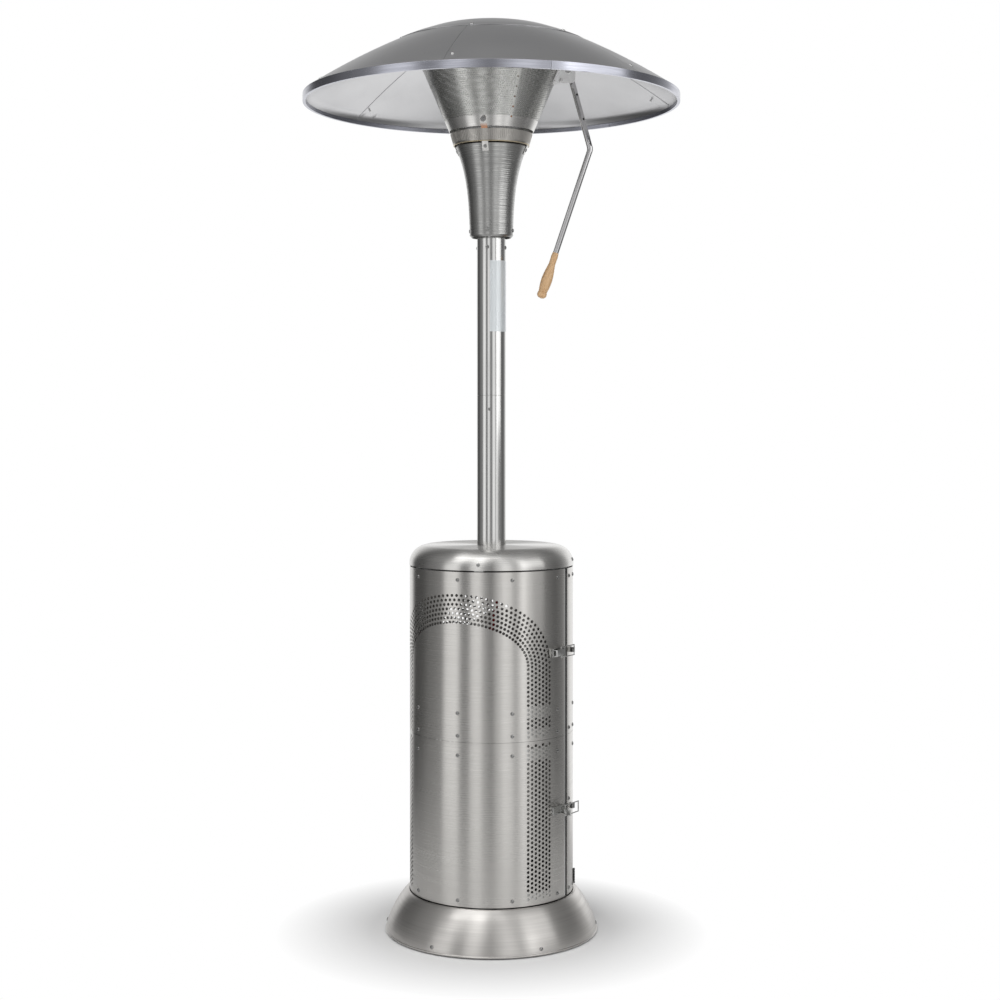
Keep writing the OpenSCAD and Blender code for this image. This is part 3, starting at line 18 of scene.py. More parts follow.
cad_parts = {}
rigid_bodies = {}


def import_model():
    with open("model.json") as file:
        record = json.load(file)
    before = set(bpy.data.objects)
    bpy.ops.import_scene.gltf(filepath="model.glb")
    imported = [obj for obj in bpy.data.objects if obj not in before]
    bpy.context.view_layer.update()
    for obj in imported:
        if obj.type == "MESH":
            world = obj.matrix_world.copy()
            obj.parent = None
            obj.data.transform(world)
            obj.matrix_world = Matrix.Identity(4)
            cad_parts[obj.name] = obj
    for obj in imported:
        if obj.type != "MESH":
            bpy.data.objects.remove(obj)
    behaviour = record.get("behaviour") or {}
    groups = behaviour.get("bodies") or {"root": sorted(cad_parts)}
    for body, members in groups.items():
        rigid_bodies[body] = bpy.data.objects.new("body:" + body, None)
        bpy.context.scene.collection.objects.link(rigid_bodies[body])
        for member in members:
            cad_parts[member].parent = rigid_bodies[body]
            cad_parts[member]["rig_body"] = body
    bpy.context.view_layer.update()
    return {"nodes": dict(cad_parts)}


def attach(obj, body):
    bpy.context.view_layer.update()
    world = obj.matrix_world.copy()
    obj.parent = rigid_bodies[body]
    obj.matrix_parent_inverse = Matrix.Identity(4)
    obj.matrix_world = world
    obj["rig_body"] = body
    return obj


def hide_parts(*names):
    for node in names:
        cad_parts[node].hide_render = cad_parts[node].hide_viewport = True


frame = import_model()

MERGE = 2e-6  # points nearer than this become one
PROBE = 0.001  # half of the step over which a slope is measured
SEED = 7  # of every random draw
TURN_STEPS = 192  # of a turned piece's whole turn
FINE_STEPS = 256  # of the widest turned pieces
CREASE = 32.0  # edges are sharp from this angle on
ROUND_CREASE = 50.0  # the same for beads and rolled curves
FLAT_WITHIN = 0.3  # CAD faces within this angle become one
SOFTEN_FROM = 40.0  # edges are softened from this angle on
UP = Vector((0, 0, 1))
WHITE = (1.0, 1.0, 1.0, 1.0)

Point = tuple[float, float]
Colour = tuple[float, float, float]
Spot = tuple[Vector, Vector]
Ends = tuple[float, float, float, float]
Socket = bpy.types.NodeSocket

log = logging.getLogger("patio_heater")


class Grain(Enum):
    """Which way the fine lines of a finish run."""

    LEVEL = "level"
    UPRIGHT = "upright"
    RINGED = "ringed"
    EVEN = "even"


class Blend(Enum):
    """What a mix node mixes, with its kind, its first input and its result."""

    NUMBER = ("FLOAT", 2, 0)
    COLOUR = ("RGBA", 6, 2)


class Value:
    """Result of a node, with which sums are written in plain signs."""

    def __init__(self, tree: "Tree", socket: Socket) -> None:
        """Keeps the tree and the result's socket."""
        self.tree = tree
        self.socket = socket

    def __add__(self, other: object) -> "Value":
        """Adds a number."""
        return self.tree.sum("ADD", self, other)

    def __sub__(self, other: object) -> "Value":
        """Takes a number away."""
        return self.tree.sum("SUBTRACT", self, other)

    def __mul__(self, other: object) -> "Value":
        """Multiplies by a number."""
        return self.tree.sum("MULTIPLY", self, other)

    def __truediv__(self, other: object) -> "Value":
        """Divides by a number."""
        return self.tree.sum("DIVIDE", self, other)


class Tree:
    """Node tree with short calls for adding nodes and links."""

    def __init__(self, nodes: bpy.types.NodeTree) -> None:
        """Keeps the tree that is filled."""
        self.tree = nodes

    def add(self, kind: str, *inputs: object, into: dict[int | str, object] | None = None,
            **settings: object) -> bpy.types.Node:
        """Adds one node.

        Args:
            kind: Type name of the node.
            inputs: Values or sockets for its first inputs; None leaves one as it is.
            into: Values or sockets for inputs by their name or number.
            settings: Properties of the node.

        Returns:
            The node.
        """
        made = self.tree.nodes.new(kind)
        for name, value in settings.items():
            setattr(made, name, value)
        for place, value in zip(made.inputs, inputs):
            self.feed(place, value)
        for name, value in (into or {}).items():
            self.feed(made.inputs[name], value)
        return made

    def feed(self, place: Socket, value: object) -> None:
        """Links a socket to an input or sets the input's value.

        Args:
            place: The input.
            value: A node's result, its socket, a plain value or None.
        """
        if isinstance(value, Value):
            value = value.socket
        if isinstance(value, Socket):
            self.tree.links.new(value, place)
        elif value is not None:
            place.default_value = value

    def sum(self, operation: str, *inputs: object) -> Value:
        """Adds a math node and gives its result."""
        return Value(self, self.add("ShaderNodeMath", *inputs, operation=operation).outputs[0])

    def vector(self, operation: str, *inputs: object) -> Socket:
        """Adds a vector math node and gives its vector."""
        return self.add("ShaderNodeVectorMath", *inputs, operation=operation).outputs[0]

    def measured(self, operation: str, *inputs: object) -> Value:
        """Adds a vector math node and gives its number."""
        made = self.add("ShaderNodeVectorMath", *inputs, operation=operation)
        return Value(self, made.outputs["Value"])

    def scaled(self, way: object, share: object) -> Socket:
        """Gives a vector times a number."""
        return self.vector("SCALE", way, None, None, share)

    def from_axis(self, place: Socket) -> Value:
        """Gives a place's distance from the upright axis."""
        return self.measured("LENGTH", self.vector("MULTIPLY", place, (1, 1, 0)))

    def parts(self, way: Socket) -> list[Value]:
        """Gives the three numbers of a vector."""
        return [Value(self, part) for part in self.add("ShaderNodeSeparateXYZ", way).outputs]

    def joined(self, *parts: object) -> Socket:
        """Gives the vector of three numbers."""
        return self.add("ShaderNodeCombineXYZ", *parts).outputs[0]

    def ranged(self, value: object, *ends: float) -> Value:
        """Maps a number from between the first two ends to between the last two."""
        return Value(self, self.add("ShaderNodeMapRange", value, *ends).outputs[0])

    def mixed(self, blend: Blend, share: object, first: object, second: object) -> Socket:
        """Mixes two colours or numbers by a share.

        Args:
            blend: What is mixed.
            share: Share of the second.
            first: The first colour or number.
            second: The second one.

        Returns:
            The socket with the mix.
        """
        kind, place, result = blend.value
        into = {place: first, place + 1: second}
        return self.add("ShaderNodeMix", share, into=into, data_type=kind).outputs[result]

    def test(self, operation: str, first: Value, second: Value) -> Socket:
        """Compares two numbers."""
        return self.add("FunctionNodeCompare", first, second, operation=operation).outputs[0]

    def logic(self, operation: str, *inputs: Socket) -> Socket:
        """Joins or turns answers of yes or no."""
        return self.add("FunctionNodeBooleanMath", *inputs, operation=operation).outputs[0]

    def place(self) -> Socket:
        """Gives the object's own coordinates."""
        return self.add("ShaderNodeTexCoord").outputs["Object"]


@dataclass(frozen=True)
class Finish:
    """Surface with fine lines, patches and a faint relief."""

    name: str
    colour: Colour
    rough: float
    grain: Grain = Grain.EVEN
    along: float = 5.0
    across: float = 170.0
    rough_spread: float = 0.10
    tone_spread: float = 0.10
    relief: float = 0.00002
    patches: float = 0.06
    metallic: float = 1.0
    coat: float = 0.0
    stretch: float = 0.0
    centre: float = -50.0
    line_detail: float = 5.0
    line_rough: float = 0.65
    line_ends: Ends = (0.3, 0.7, 0.0, 1.0)
    patch_scale: float = 9.0
    patch_detail: float = 4.0
    patch_from: float = 0.4
    patch_to: float = 0.75
    worn_ends: Ends = (0.45, 0.75, 0.0, 0.8)
    relief_strength: float = 0.5

    def pattern(self, tree: Tree) -> Socket:
        """Stretches the object's coordinates along the grain.

        Args:
            tree: The material's tree.

        Returns:
            The stretched coordinates.
        """
        place = tree.place()
        if self.grain is Grain.EVEN:
            return tree.scaled(place, self.across)
        left, back, height = tree.parts(place)
        level, upright = self.along, self.across
        if self.grain is Grain.UPRIGHT:
            level, upright = self.across, self.along
        if self.grain is Grain.RINGED:
            height = height + tree.from_axis(place)
        return tree.joined(left * level, back * level, height * upright)

    def tone(self, tree: Tree, lines: Value, patch: Value) -> Socket:
        """Mixes the colour with its lines and patches.

        Args:
            tree: The material's tree.
            lines: Strength of the fine lines.
            patch: Strength of the broad patches.

        Returns:
            The socket with the colour.
        """
        darker = tuple(c * (1 - 2 * self.tone_spread) for c in self.colour)
        worn = tuple(c * (1 - 2 * self.patches) for c in self.colour)
        fine = tree.mixed(Blend.COLOUR, lines, (*self.colour, 1), (*darker, 1))
        share = tree.ranged(patch, *self.worn_ends)
        return tree.mixed(Blend.COLOUR, share, fine, (*worn, 1))

    def tangent(self, tree: Tree) -> Socket:
        """Gives the way away from the centre, along which the gloss is drawn out.

        Args:
            tree: The material's tree.

        Returns:
            The socket with the way.
        """
        away = tree.vector("SUBTRACT", tree.place(), (0.0, 0.0, self.centre))
        return tree.add("ShaderNodeVectorTransform", away, vector_type="VECTOR",
                        convert_from="OBJECT", convert_to="WORLD").outputs[0]

    def material(self) -> bpy.types.Material:
        """Builds the material, or finds it when it is there.

        Returns:
            The material.
        """
        found = bpy.data.materials.get(self.name)
        if found:
            return found
        made = bpy.data.materials.new(self.name)
        made.use_nodes = True
        tree = Tree(made.node_tree)
        fine = tree.add("ShaderNodeTexNoise", self.pattern(tree), into={
            "Scale": 1.0, "Detail": self.line_detail, "Roughness": self.line_rough,
        }).outputs[0]
        broad = tree.add("ShaderNodeTexNoise", tree.place(), into={
            "Scale": self.patch_scale, "Detail": self.patch_detail,
        }).outputs[0]
        lines = tree.ranged(fine, *self.line_ends)
        low, high = self.rough - self.rough_spread / 2, self.rough + self.rough_spread / 2
        rough = tree.ranged(lines, 0.0, 1.0, low, high)
        patch = tree.ranged(broad, self.patch_from, self.patch_to, 0.0, self.patches)
        bump = tree.add("ShaderNodeBump", into={
            "Strength": self.relief_strength, "Distance": self.relief, "Height": lines,
        })
        values = {"Metallic": self.metallic, "Coat Weight": self.coat,
                  "Roughness": rough + patch, "Base Color": self.tone(tree, lines, broad),
                  "Normal": bump.outputs[0]}
        if self.stretch:
            values |= {"Anisotropic": self.stretch, "Tangent": self.tangent(tree)}
        shader = made.node_tree.nodes["Principled BSDF"]
        for name, value in values.items():
            tree.feed(shader.inputs[name], value)
        return made


@dataclass(frozen=True)
class Tinted(Finish):
    """Steel that heat has coloured between two heights."""

    hot: Colour = (0.55, 0.25, 0.12)
    low: float = 1.870
    high: float = 1.935
    hot_ends: Ends = (0.2, 1.0, 0.9, 0.0)

    def tone(self, tree: Tree, lines: Value, patch: Value) -> Socket:
        """Adds the heat's colour to the plain tone.

        Args:
            tree: The material's tree.
            lines: Strength of the fine lines.
            patch: Strength of the broad patches.

        Returns:
            The socket with the colour.
        """
        plain = super().tone(tree, lines, patch)
        height = tree.parts(tree.place())[2]
        middle, reach = (self.low + self.high) / 2, (self.high - self.low) / 2
        off = tree.sum("ABSOLUTE", height - middle) / reach
        return tree.mixed(Blend.COLOUR, tree.ranged(off, *self.hot_ends), plain, (*self.hot, 1))


@dataclass(frozen=True)
class Timber(Finish):
    """Turned beech with rays along its own length."""

    axis: Colour = (0.0, 0.0, 1.0)
    late: Colour = (0.50, 0.27, 0.11)
    late_ends: Ends = (0.35, 1.0, 0.0, 0.75)

    def pattern(self, tree: Tree) -> Socket:
        """Stretches the coordinates along the piece's length.

        Args:
            tree: The material's tree.

        Returns:
            The stretched coordinates.
        """
        place = tree.place()
        lengthwise = tree.scaled(self.axis, tree.measured("DOT_PRODUCT", place, self.axis))
        near = tree.scaled(lengthwise, self.along - self.across)
        return tree.vector("ADD", tree.scaled(place, self.across), near)

    def tone(self, tree: Tree, lines: Value, patch: Value) -> Socket:
        """Mixes early and late wood."""
        ramp = tree.ranged(lines, *self.late_ends)
        return tree.mixed(Blend.COLOUR, ramp, (*self.colour, 1), (*self.late, 1))


SHEET = Finish("satin_sheet_steel", (0.66, 0.645, 0.62), 0.28, Grain.LEVEL, 2.0, 900.0, 0.06,
               0.06, 0.00001, 0.03, stretch=0.95)
CAP = Finish("spun_cap_steel", (0.71, 0.70, 0.68), 0.28, Grain.RINGED, 2.0, 900.0, 0.06, 0.06,
             0.00001, 0.03, stretch=0.93, centre=0.70)
FOOT = Finish("spun_foot_steel", (0.68, 0.66, 0.635), 0.31, Grain.RINGED, 3.0, 700.0, 0.08,
              0.10, 0.00002, 0.05, stretch=0.9, centre=0.8)
POST = Finish("polished_post_steel", (0.75, 0.75, 0.74), 0.13, Grain.UPRIGHT, 3.0, 900.0, 0.05,
              0.04, 0.00001)
FRAME = Finish("bright_rolled_steel", (0.55, 0.55, 0.54), 0.28, Grain.LEVEL, 12.0, 160.0, 0.03,
               0.03)
CASING = Finish("spun_casing_steel", (0.54, 0.54, 0.53), 0.27, Grain.LEVEL, 9.0, 620.0, 0.16, 0.2)
COLLAR = Finish("collar_steel", (0.55, 0.53, 0.50), 0.28, Grain.UPRIGHT, 6.0, 260.0)
EMITTER = Finish("emitter_sheet_steel", (0.74, 0.74, 0.715), 0.24, Grain.UPRIGHT, 8.0, 500.0)
BAND = Finish("plain_band_steel", (0.80, 0.79, 0.77), 0.22, Grain.LEVEL, 6.0, 300.0, 0.05, 0.05)
STRAP = Tinted("tinted_strap_steel", (0.82, 0.81, 0.79), 0.26, low=1.908, high=1.930)
BURNT = Tinted("heat_stained_steel", (0.45, 0.40, 0.36), 0.42, low=1.90, high=2.0)
DOME = Finish("satin_reflector", (0.69, 0.69, 0.70), 0.30, Grain.EVEN, 5.0, 700.0, 0.06, 0.03,
              0.00001, 0.04)
RIM = Finish("bright_rim", (0.56, 0.57, 0.64), 0.20, Grain.LEVEL, 9.0, 300.0)
LEVER = Finish("satin_lever_tube", (0.62, 0.615, 0.62), 0.09, Grain.EVEN, 3.0, 40.0, 0.01, 0.01,
               0.0, 0.01)
BRIGHT = Finish("bright_plating", (0.80, 0.80, 0.79), 0.14, Grain.EVEN, 5.0, 240.0, 0.08, 0.05)
LATCH = Finish("latch_plating", (0.56, 0.56, 0.55), 0.17, Grain.EVEN, 5.0, 400.0, 0.08, 0.05)
STUD = Finish("screw_plating", (0.36, 0.36, 0.355), 0.12, Grain.EVEN, 5.0, 400.0, 0.08, 0.05)
PALE = Finish("pale_zinc", (0.93, 0.93, 0.93), 0.42, Grain.EVEN, 5.0, 320.0, 0.03, 0.02,
              patches=0.02, metallic=0.0)
CAST = Finish("die_cast_zinc", (0.55, 0.56, 0.57), 0.45, Grain.EVEN, 5.0, 600.0, relief=0.0001)
BRASS = Finish("plain_brass", (0.80, 0.60, 0.28), 0.26, Grain.EVEN, 5.0, 240.0)
BEAD = Finish("warm_bead", (0.70, 0.60, 0.42), 0.26, Grain.LEVEL, 5.0, 240.0)
DARK = Finish("black_powder_coat", (0.022, 0.022, 0.023), 0.45, Grain.EVEN, 5.0, 900.0,
              relief=0.00006, metallic=0.0)
IRON = Finish("rough_cast_iron", (0.045, 0.045, 0.047), 0.65, Grain.EVEN, 5.0, 350.0,
              relief=0.0004, metallic=0.3)
RUBBER = Finish("black_rubber", (0.018, 0.018, 0.018), 0.75, Grain.EVEN, 5.0, 700.0,
                relief=0.00008, metallic=0.0)
HOSE = Finish("red_hose_rubber", (0.42, 0.018, 0.015), 0.55, Grain.EVEN, 5.0, 700.0,
              relief=0.00008, metallic=0.0)
PLASTIC = Finish("matt_black_plastic", (0.02, 0.02, 0.02), 0.42, Grain.EVEN, 5.0, 900.0,
                 relief=0.00005, metallic=0.0)
RED = Finish("glossy_red_plastic", (0.50, 0.02, 0.02), 0.25, Grain.EVEN, 5.0, 900.0,
             metallic=0.0, coat=0.5)
FILM = Finish("bluish_film", (0.74, 0.78, 0.80), 0.28, Grain.UPRIGHT, 5.0, 60.0, 0.06, 0.05,
              metallic=0.25, coat=0.6)


def polar(radius: float, angle: float, height: float) -> Vector:
    """Gives the point at a radius, an angle in degrees and a height."""
    turn = math.radians(angle)
    return Vector((radius * math.cos(turn), radius * math.sin(turn), height))


def arc(middle: Point, reach: Point, angles: Iterable[float]) -> list[Point]:
    """Gives the points of a round or oval arc.

    Args:
        middle: Its middle.
        reach: Its half width and half height.
        angles: Angles of its points in degrees.

    Returns:
        The points.
    """
    turns = [math.radians(angle) for angle in angles]
    return [(middle[0] + reach[0] * math.cos(turn), middle[1] + reach[1] * math.sin(turn))
            for turn in turns]


def bead(radius: float, height: float, size: float) -> list[Point]:
    """Gives the section of a round bead of a size at a radius and a height."""
    return arc((radius, height), (size, size), range(0, 360, 30))


def lean_of(curve: Callable[[float], float], place: float) -> float:
    """Gives how steeply a curve falls at a place, in degrees."""
    fall = curve(place - PROBE) - curve(place + PROBE)
    return math.degrees(math.atan(fall / (2 * PROBE)))


def on_wall(radius: float, angle: float, height: float, lean: float = 0.0) -> Spot:
    """Gives a spot on a round wall and the way out of it.

    Args:
        radius: Radius of the wall there.
        angle: Angle of the spot.
        height: Height of the spot.
        lean: How far the way out points up, in degrees.

    Returns:
        The place and the way out.
    """
    up = math.radians(lean)
    out = polar(math.cos(up), angle, math.sin(up))
    return polar(radius, angle, height), out


def spaced(count: int, radius: float, start: float, height: float,
           lean: float = 0.0) -> list[Spot]:
    """Gives a count of spots at equal steps round a wall, from a start angle on."""
    return [on_wall(radius, start + 360 * k / count, height, lean) for k in range(count)]


def sheet(points: Sequence[Point], wall: float) -> list[Point]:
    """Closes a line of points to the section of a sheet whose wall lies to their left.

    Args:
        points: Radius and height of the outer side's points, in order.
        wall: Thickness of the sheet.

    Returns:
        The closed section.
    """
    spots = [Vector(p) for p in points]
    sides = [Vector((a.y - b.y, b.x - a.x)).normalized() for a, b in zip(spots, spots[1:])]
    back = []
    for k, spot in enumerate(spots):
        first, second = sides[max(k - 1, 0)], sides[min(k, len(sides) - 1)]
        back.append(spot + wall * (first + second) / (1 + first.dot(second)))
    return [*points, *[(p.x, p.y) for p in reversed(back)]]


def settle(name: str, shape: bmesh.types.BMesh, crease: float = CREASE,
           turn_out: bool = True) -> bpy.types.Object:
    """Turns a shape into a smooth object with sharp creases.

    Args:
        name: Name of the piece.
        shape: The shape, which is freed.
        crease: Angle from which an edge is sharp.
        turn_out: Whether its faces are turned outwards again.

    Returns:
        The object.
    """
    bmesh.ops.remove_doubles(shape, verts=shape.verts, dist=MERGE)
    if turn_out:
        bmesh.ops.recalc_face_normals(shape, faces=shape.faces)
    mesh = bpy.data.meshes.new(name)
    shape.to_mesh(mesh)
    shape.free()
    mesh.polygons.foreach_set("use_smooth", [True] * len(mesh.polygons))
    mesh.set_sharp_from_angle(angle=math.radians(crease))
    made = bpy.data.objects.new(name, mesh)
    bpy.context.scene.collection.objects.link(made)
    return made


def revolve(shape: bmesh.types.BMesh, ring: Sequence[Point], steps: int = TURN_STEPS,
            start: float = 0.0, sweep: float = 360.0) -> None:
    """Adds a closed section that is turned about the upright axis.

    Args:
        shape: The shape that takes the faces.
        ring: Radius and height of the section's points.
        steps: Steps of a whole turn.
        start: Angle at which it starts.
        sweep: Angle that it covers.
    """
    whole = sweep >= 360
    parts = steps if whole else max(2, math.ceil(steps * sweep / 360))
    columns = [
        [shape.verts.new(polar(r, start + sweep * k / parts, z)) for r, z in ring]
        for k in range(parts if whole else parts + 1)
    ]
    size = len(ring)
    for left, right in zip(columns, columns[1:] + columns[:1] if whole else columns[1:]):
        for k in range(size):
            n = (k + 1) % size
            if ring[k][0] > MERGE or ring[n][0] > MERGE:
                shape.faces.new([left[k], right[k], right[n], left[n]])
    if not whole:
        shape.faces.new(columns[0])
        shape.faces.new(columns[-1])


def turned(name: str, *rings: Sequence[Point], steps: int = TURN_STEPS, start: float = 0.0,
           sweep: float = 360.0, crease: float = CREASE) -> bpy.types.Object:
    """Makes a turned piece of one or more sections.

    Args:
        name: Name of the piece.
        rings: Its closed sections.
        steps: Steps of a whole turn.
        start: Angle at which it starts.
        sweep: Angle that it covers.
        crease: Angle from which an edge is sharp.

    Returns:
        The object.
    """
    shape = bmesh.new()
    for ring in rings:
        revolve(shape, ring, steps, start, sweep)
    return settle(name, shape, crease)


def evaluated(holder: bpy.types.Object) -> bpy.types.Mesh:
    """Gives the plain mesh of an object with its modifiers run.

    Args:
        holder: The object.

    Returns:
        The mesh.
    """
    bpy.context.view_layer.update()
    ready = holder.evaluated_get(bpy.context.evaluated_depsgraph_get())
    return bpy.data.meshes.new_from_object(ready)


def dress(piece: bpy.types.Object, finish: Finish, nodes: Sequence[str],
          body: str = "") -> None:
    """Gives a piece its finish and joins it to the frame.

    Args:
        piece: The piece.
        finish: Its finish.
        nodes: The CAD nodes that it stands for.
        body: The body that it rides on, or nothing for the first node's own.
    """
    piece.data.materials.clear()
    piece.data.materials.append(finish.material())
    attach(piece, body or frame["nodes"][nodes[0]]["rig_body"])
    if nodes:
        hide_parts(*nodes)
    log.info("%s: %d faces, %s", piece.name, len(piece.data.polygons), finish.name)


def smoothed(node: str, finish: Finish, bevel: float = 0.0) -> None:
    """Copies a CAD node as a smooth piece with softened edges.

    Args:
        node: The node.
        finish: The piece's finish.
        bevel: Width of the softened edges.
    """
    shape = bmesh.new()
    shape.from_mesh(frame["nodes"][node].data)
    bmesh.ops.remove_doubles(shape, verts=shape.verts, dist=MERGE)
    bmesh.ops.dissolve_limit(shape, angle_limit=math.radians(FLAT_WITHIN), verts=shape.verts,
                             edges=shape.edges)
    made = settle(f"{node}_skin", shape, turn_out=False)
    if bevel:
        soft = made.modifiers.new("soft_edges", "BEVEL")
        soft.width = bevel
        soft.segments = 2
        soft.limit_method = "ANGLE"
        soft.angle_limit = math.radians(SOFTEN_FROM)
        soft.harden_normals = True
    dress(made, finish, [node])


def grown(name: str, grow: Callable[[], bpy.types.NodeTree], base: bpy.types.Mesh,
          inputs: dict[str, object]) -> bpy.types.Object:
    """Runs a geometry tree on a mesh and keeps the result as a plain mesh.

    Args:
        name: Name of the piece.
        grow: Builds the geometry tree, which is kept under the builder's own name.
        base: The mesh that it starts from.
        inputs: Values of its named inputs.

    Returns:
        The object.
    """
    holder = bpy.data.objects.new(f"{name}_base", base)
    bpy.context.scene.collection.objects.link(holder)
    modifier = holder.modifiers.new("growth", "NODES")
    modifier.node_group = group = bpy.data.node_groups.get(grow.__name__) or grow()
    for item in group.interface.items_tree:
        if item.item_type == "SOCKET" and item.in_out == "INPUT" and item.name in inputs:
            modifier[item.identifier] = inputs[item.name]
    mesh = evaluated(holder)
    bpy.data.objects.remove(holder)
    shape = bmesh.new()
    shape.from_mesh(mesh)
    bpy.data.meshes.remove(mesh)
    return settle(name, shape, turn_out=False)


def geometry_tree(grow: Callable[[], bpy.types.NodeTree],
                  **sockets: str) -> tuple[Tree, SimpleNamespace, Socket]:
    """Starts a geometry tree with named inputs.

    Args:
        grow: The function that builds it and gives it its name.
        sockets: Names and kinds of its inputs.

    Returns:
        The tree, its inputs by name and the socket of the result.
    """
    group = bpy.data.node_groups.new(grow.__name__, "GeometryNodeTree")
    group.interface.new_socket("Geometry", in_out="INPUT", socket_type="NodeSocketGeometry")
    group.interface.new_socket("Geometry", in_out="OUTPUT", socket_type="NodeSocketGeometry")
    for label, kind in sockets.items():
        group.interface.new_socket(label, in_out="INPUT", socket_type=f"NodeSocket{kind}")
    tree = Tree(group)
    source = tree.add("NodeGroupInput")
    given = SimpleNamespace(**{s.name: Value(tree, s) for s in source.outputs if s.name})
    return tree, given, tree.add("NodeGroupOutput").inputs[0]


def end_tree(tree: Tree, shape: Socket, paint: Value, result: Socket) -> bpy.types.NodeTree:
    """Ends a tree with real geometry that has its material.

    Args:
        tree: The tree.
        shape: The geometry so far.
        paint: The material's input.
        result: The tree's result.

    Returns:
        The finished group.
    """
    real = tree.add("GeometryNodeRealizeInstances", shape).outputs[0]
    painted = tree.add("GeometryNodeSetMaterial", real, None, paint).outputs[0]
    tree.feed(result, painted)
    return tree.tree


def end_copies(tree: Tree, spots: object, given: SimpleNamespace, turn: Socket,
               result: Socket) -> bpy.types.NodeTree:
    """Ends a tree that sets its input shape on points.

    Args:
        tree: The tree.
        spots: The points.
        given: The tree's inputs.
        turn: How each copy is turned.
        result: The tree's result.

    Returns:
        The finished group.
    """
    thing = tree.add("GeometryNodeObjectInfo", given.shape).outputs["Geometry"]
    copies = tree.add("GeometryNodeInstanceOnPoints", spots, None, thing, into={"Rotation": turn})
    return end_tree(tree, copies.outputs[0], given.paint, result)


def staggered(tree: Tree, per_row: Value) -> tuple[Value, Value]:
    """Numbers points row by row, every second row half a step on.

    Args:
        tree: The tree.
        per_row: Points in a row.

    Returns:
        The row and the step in it.
    """
    index = Value(tree, tree.add("GeometryNodeInputIndex").outputs[0])
    row = tree.sum("FLOOR", (index + 0.5) / per_row)
    return row, index - row * per_row + tree.sum("MODULO", row, 2.0) / 2.0


def rolled(tree: Tree, radius: Value, turn: Value, height: Value) -> Socket:
    """Gives the place at a radius, an angle in radians and a height."""
    return tree.joined(radius * tree.sum("COSINE", turn), radius * tree.sum("SINE", turn), height)


def perforated_wall() -> bpy.types.NodeTree:
    """Builds the tree of a rolled wall with rows of holes along a path.

    The path is drawn on the flat sheet. Holes stand on it in staggered rows, are cut
    through the flat sheet, and the sheet is then rolled to its radius.

    Returns:
        The tree.
    """
    slab_cuts, hole_sides, punch_walls = (133, 2, 3), 14, 6.0
    tree, given, result = geometry_tree(
        perforated_wall, radius="Float", width="Float", low="Float", high="Float",
        wall="Float", middle="Float", rows="Int", steps="Int", row_gap="Float",
        pitch="Float", hole="Float", rim="Float", arch_half="Float", arch_rise="Float",
        arch_height="Float", paint="Material",
    )
    size = tree.joined(given.width, given.wall, given.high - given.low)
    slab = tree.add("GeometryNodeMeshCube", size, *slab_cuts).outputs[0]
    lift = tree.joined(0.0, given.wall / 2.0, (given.high + given.low) / 2.0)
    slab = tree.add("GeometryNodeTransform", slab, into={"Translation": lift}).outputs[0]

    row, step = staggered(tree, given.steps)
    path = tree.add("GeometryNodeMeshToCurve", given.Geometry).outputs[0]
    on_path = tree.add("GeometryNodeSampleCurve", mode="LENGTH", into={
        "Curves": path, "Length": step * given.pitch,
    }).outputs["Position"]
    left, _, height = tree.parts(on_path)
    above = tree.sum("MAXIMUM", height - given.arch_height, 0.0)
    aside = tree.joined(left / given.arch_half, 0.0, above / given.arch_rise)
    shift = (row - (given.rows - 1.0) / 2.0) * given.row_gap
    place = tree.vector("ADD", on_path, tree.scaled(aside, shift))
    spots = tree.add("GeometryNodePoints", given.rows * given.steps).outputs[0]
    spots = tree.add("GeometryNodeSetPosition", spots, None, place).outputs[0]
    height = tree.parts(tree.add("GeometryNodeInputPosition").outputs[0])[2]
    outside = tree.logic("OR", tree.test("LESS_THAN", height, given.low + given.rim),
                         tree.test("GREATER_THAN", height, given.high - given.rim))
    spots = tree.add("GeometryNodeDeleteGeometry", spots, outside, domain="POINT").outputs[0]

    punch = tree.add("GeometryNodeMeshCylinder", hole_sides, 1, 1, given.hole,
                     given.wall * punch_walls).outputs[0]
    holes = tree.add("GeometryNodeInstanceOnPoints", spots, None, punch,
                     into={"Rotation": (math.pi / 2, 0.0, 0.0)}).outputs[0]
    holes = tree.add("GeometryNodeRealizeInstances", holes).outputs[0]
    cut = tree.add("GeometryNodeMeshBoolean", slab, holes, operation="DIFFERENCE",
                   solver="MANIFOLD").outputs[0]

    left, depth, height = tree.parts(tree.add("GeometryNodeInputPosition").outputs[0])
    turn = given.middle + left / given.radius
    place = rolled(tree, given.radius - depth, turn, height)
    wall = tree.add("GeometryNodeSetPosition", cut, None, place).outputs[0]
    return end_tree(tree, wall, given.paint, result)


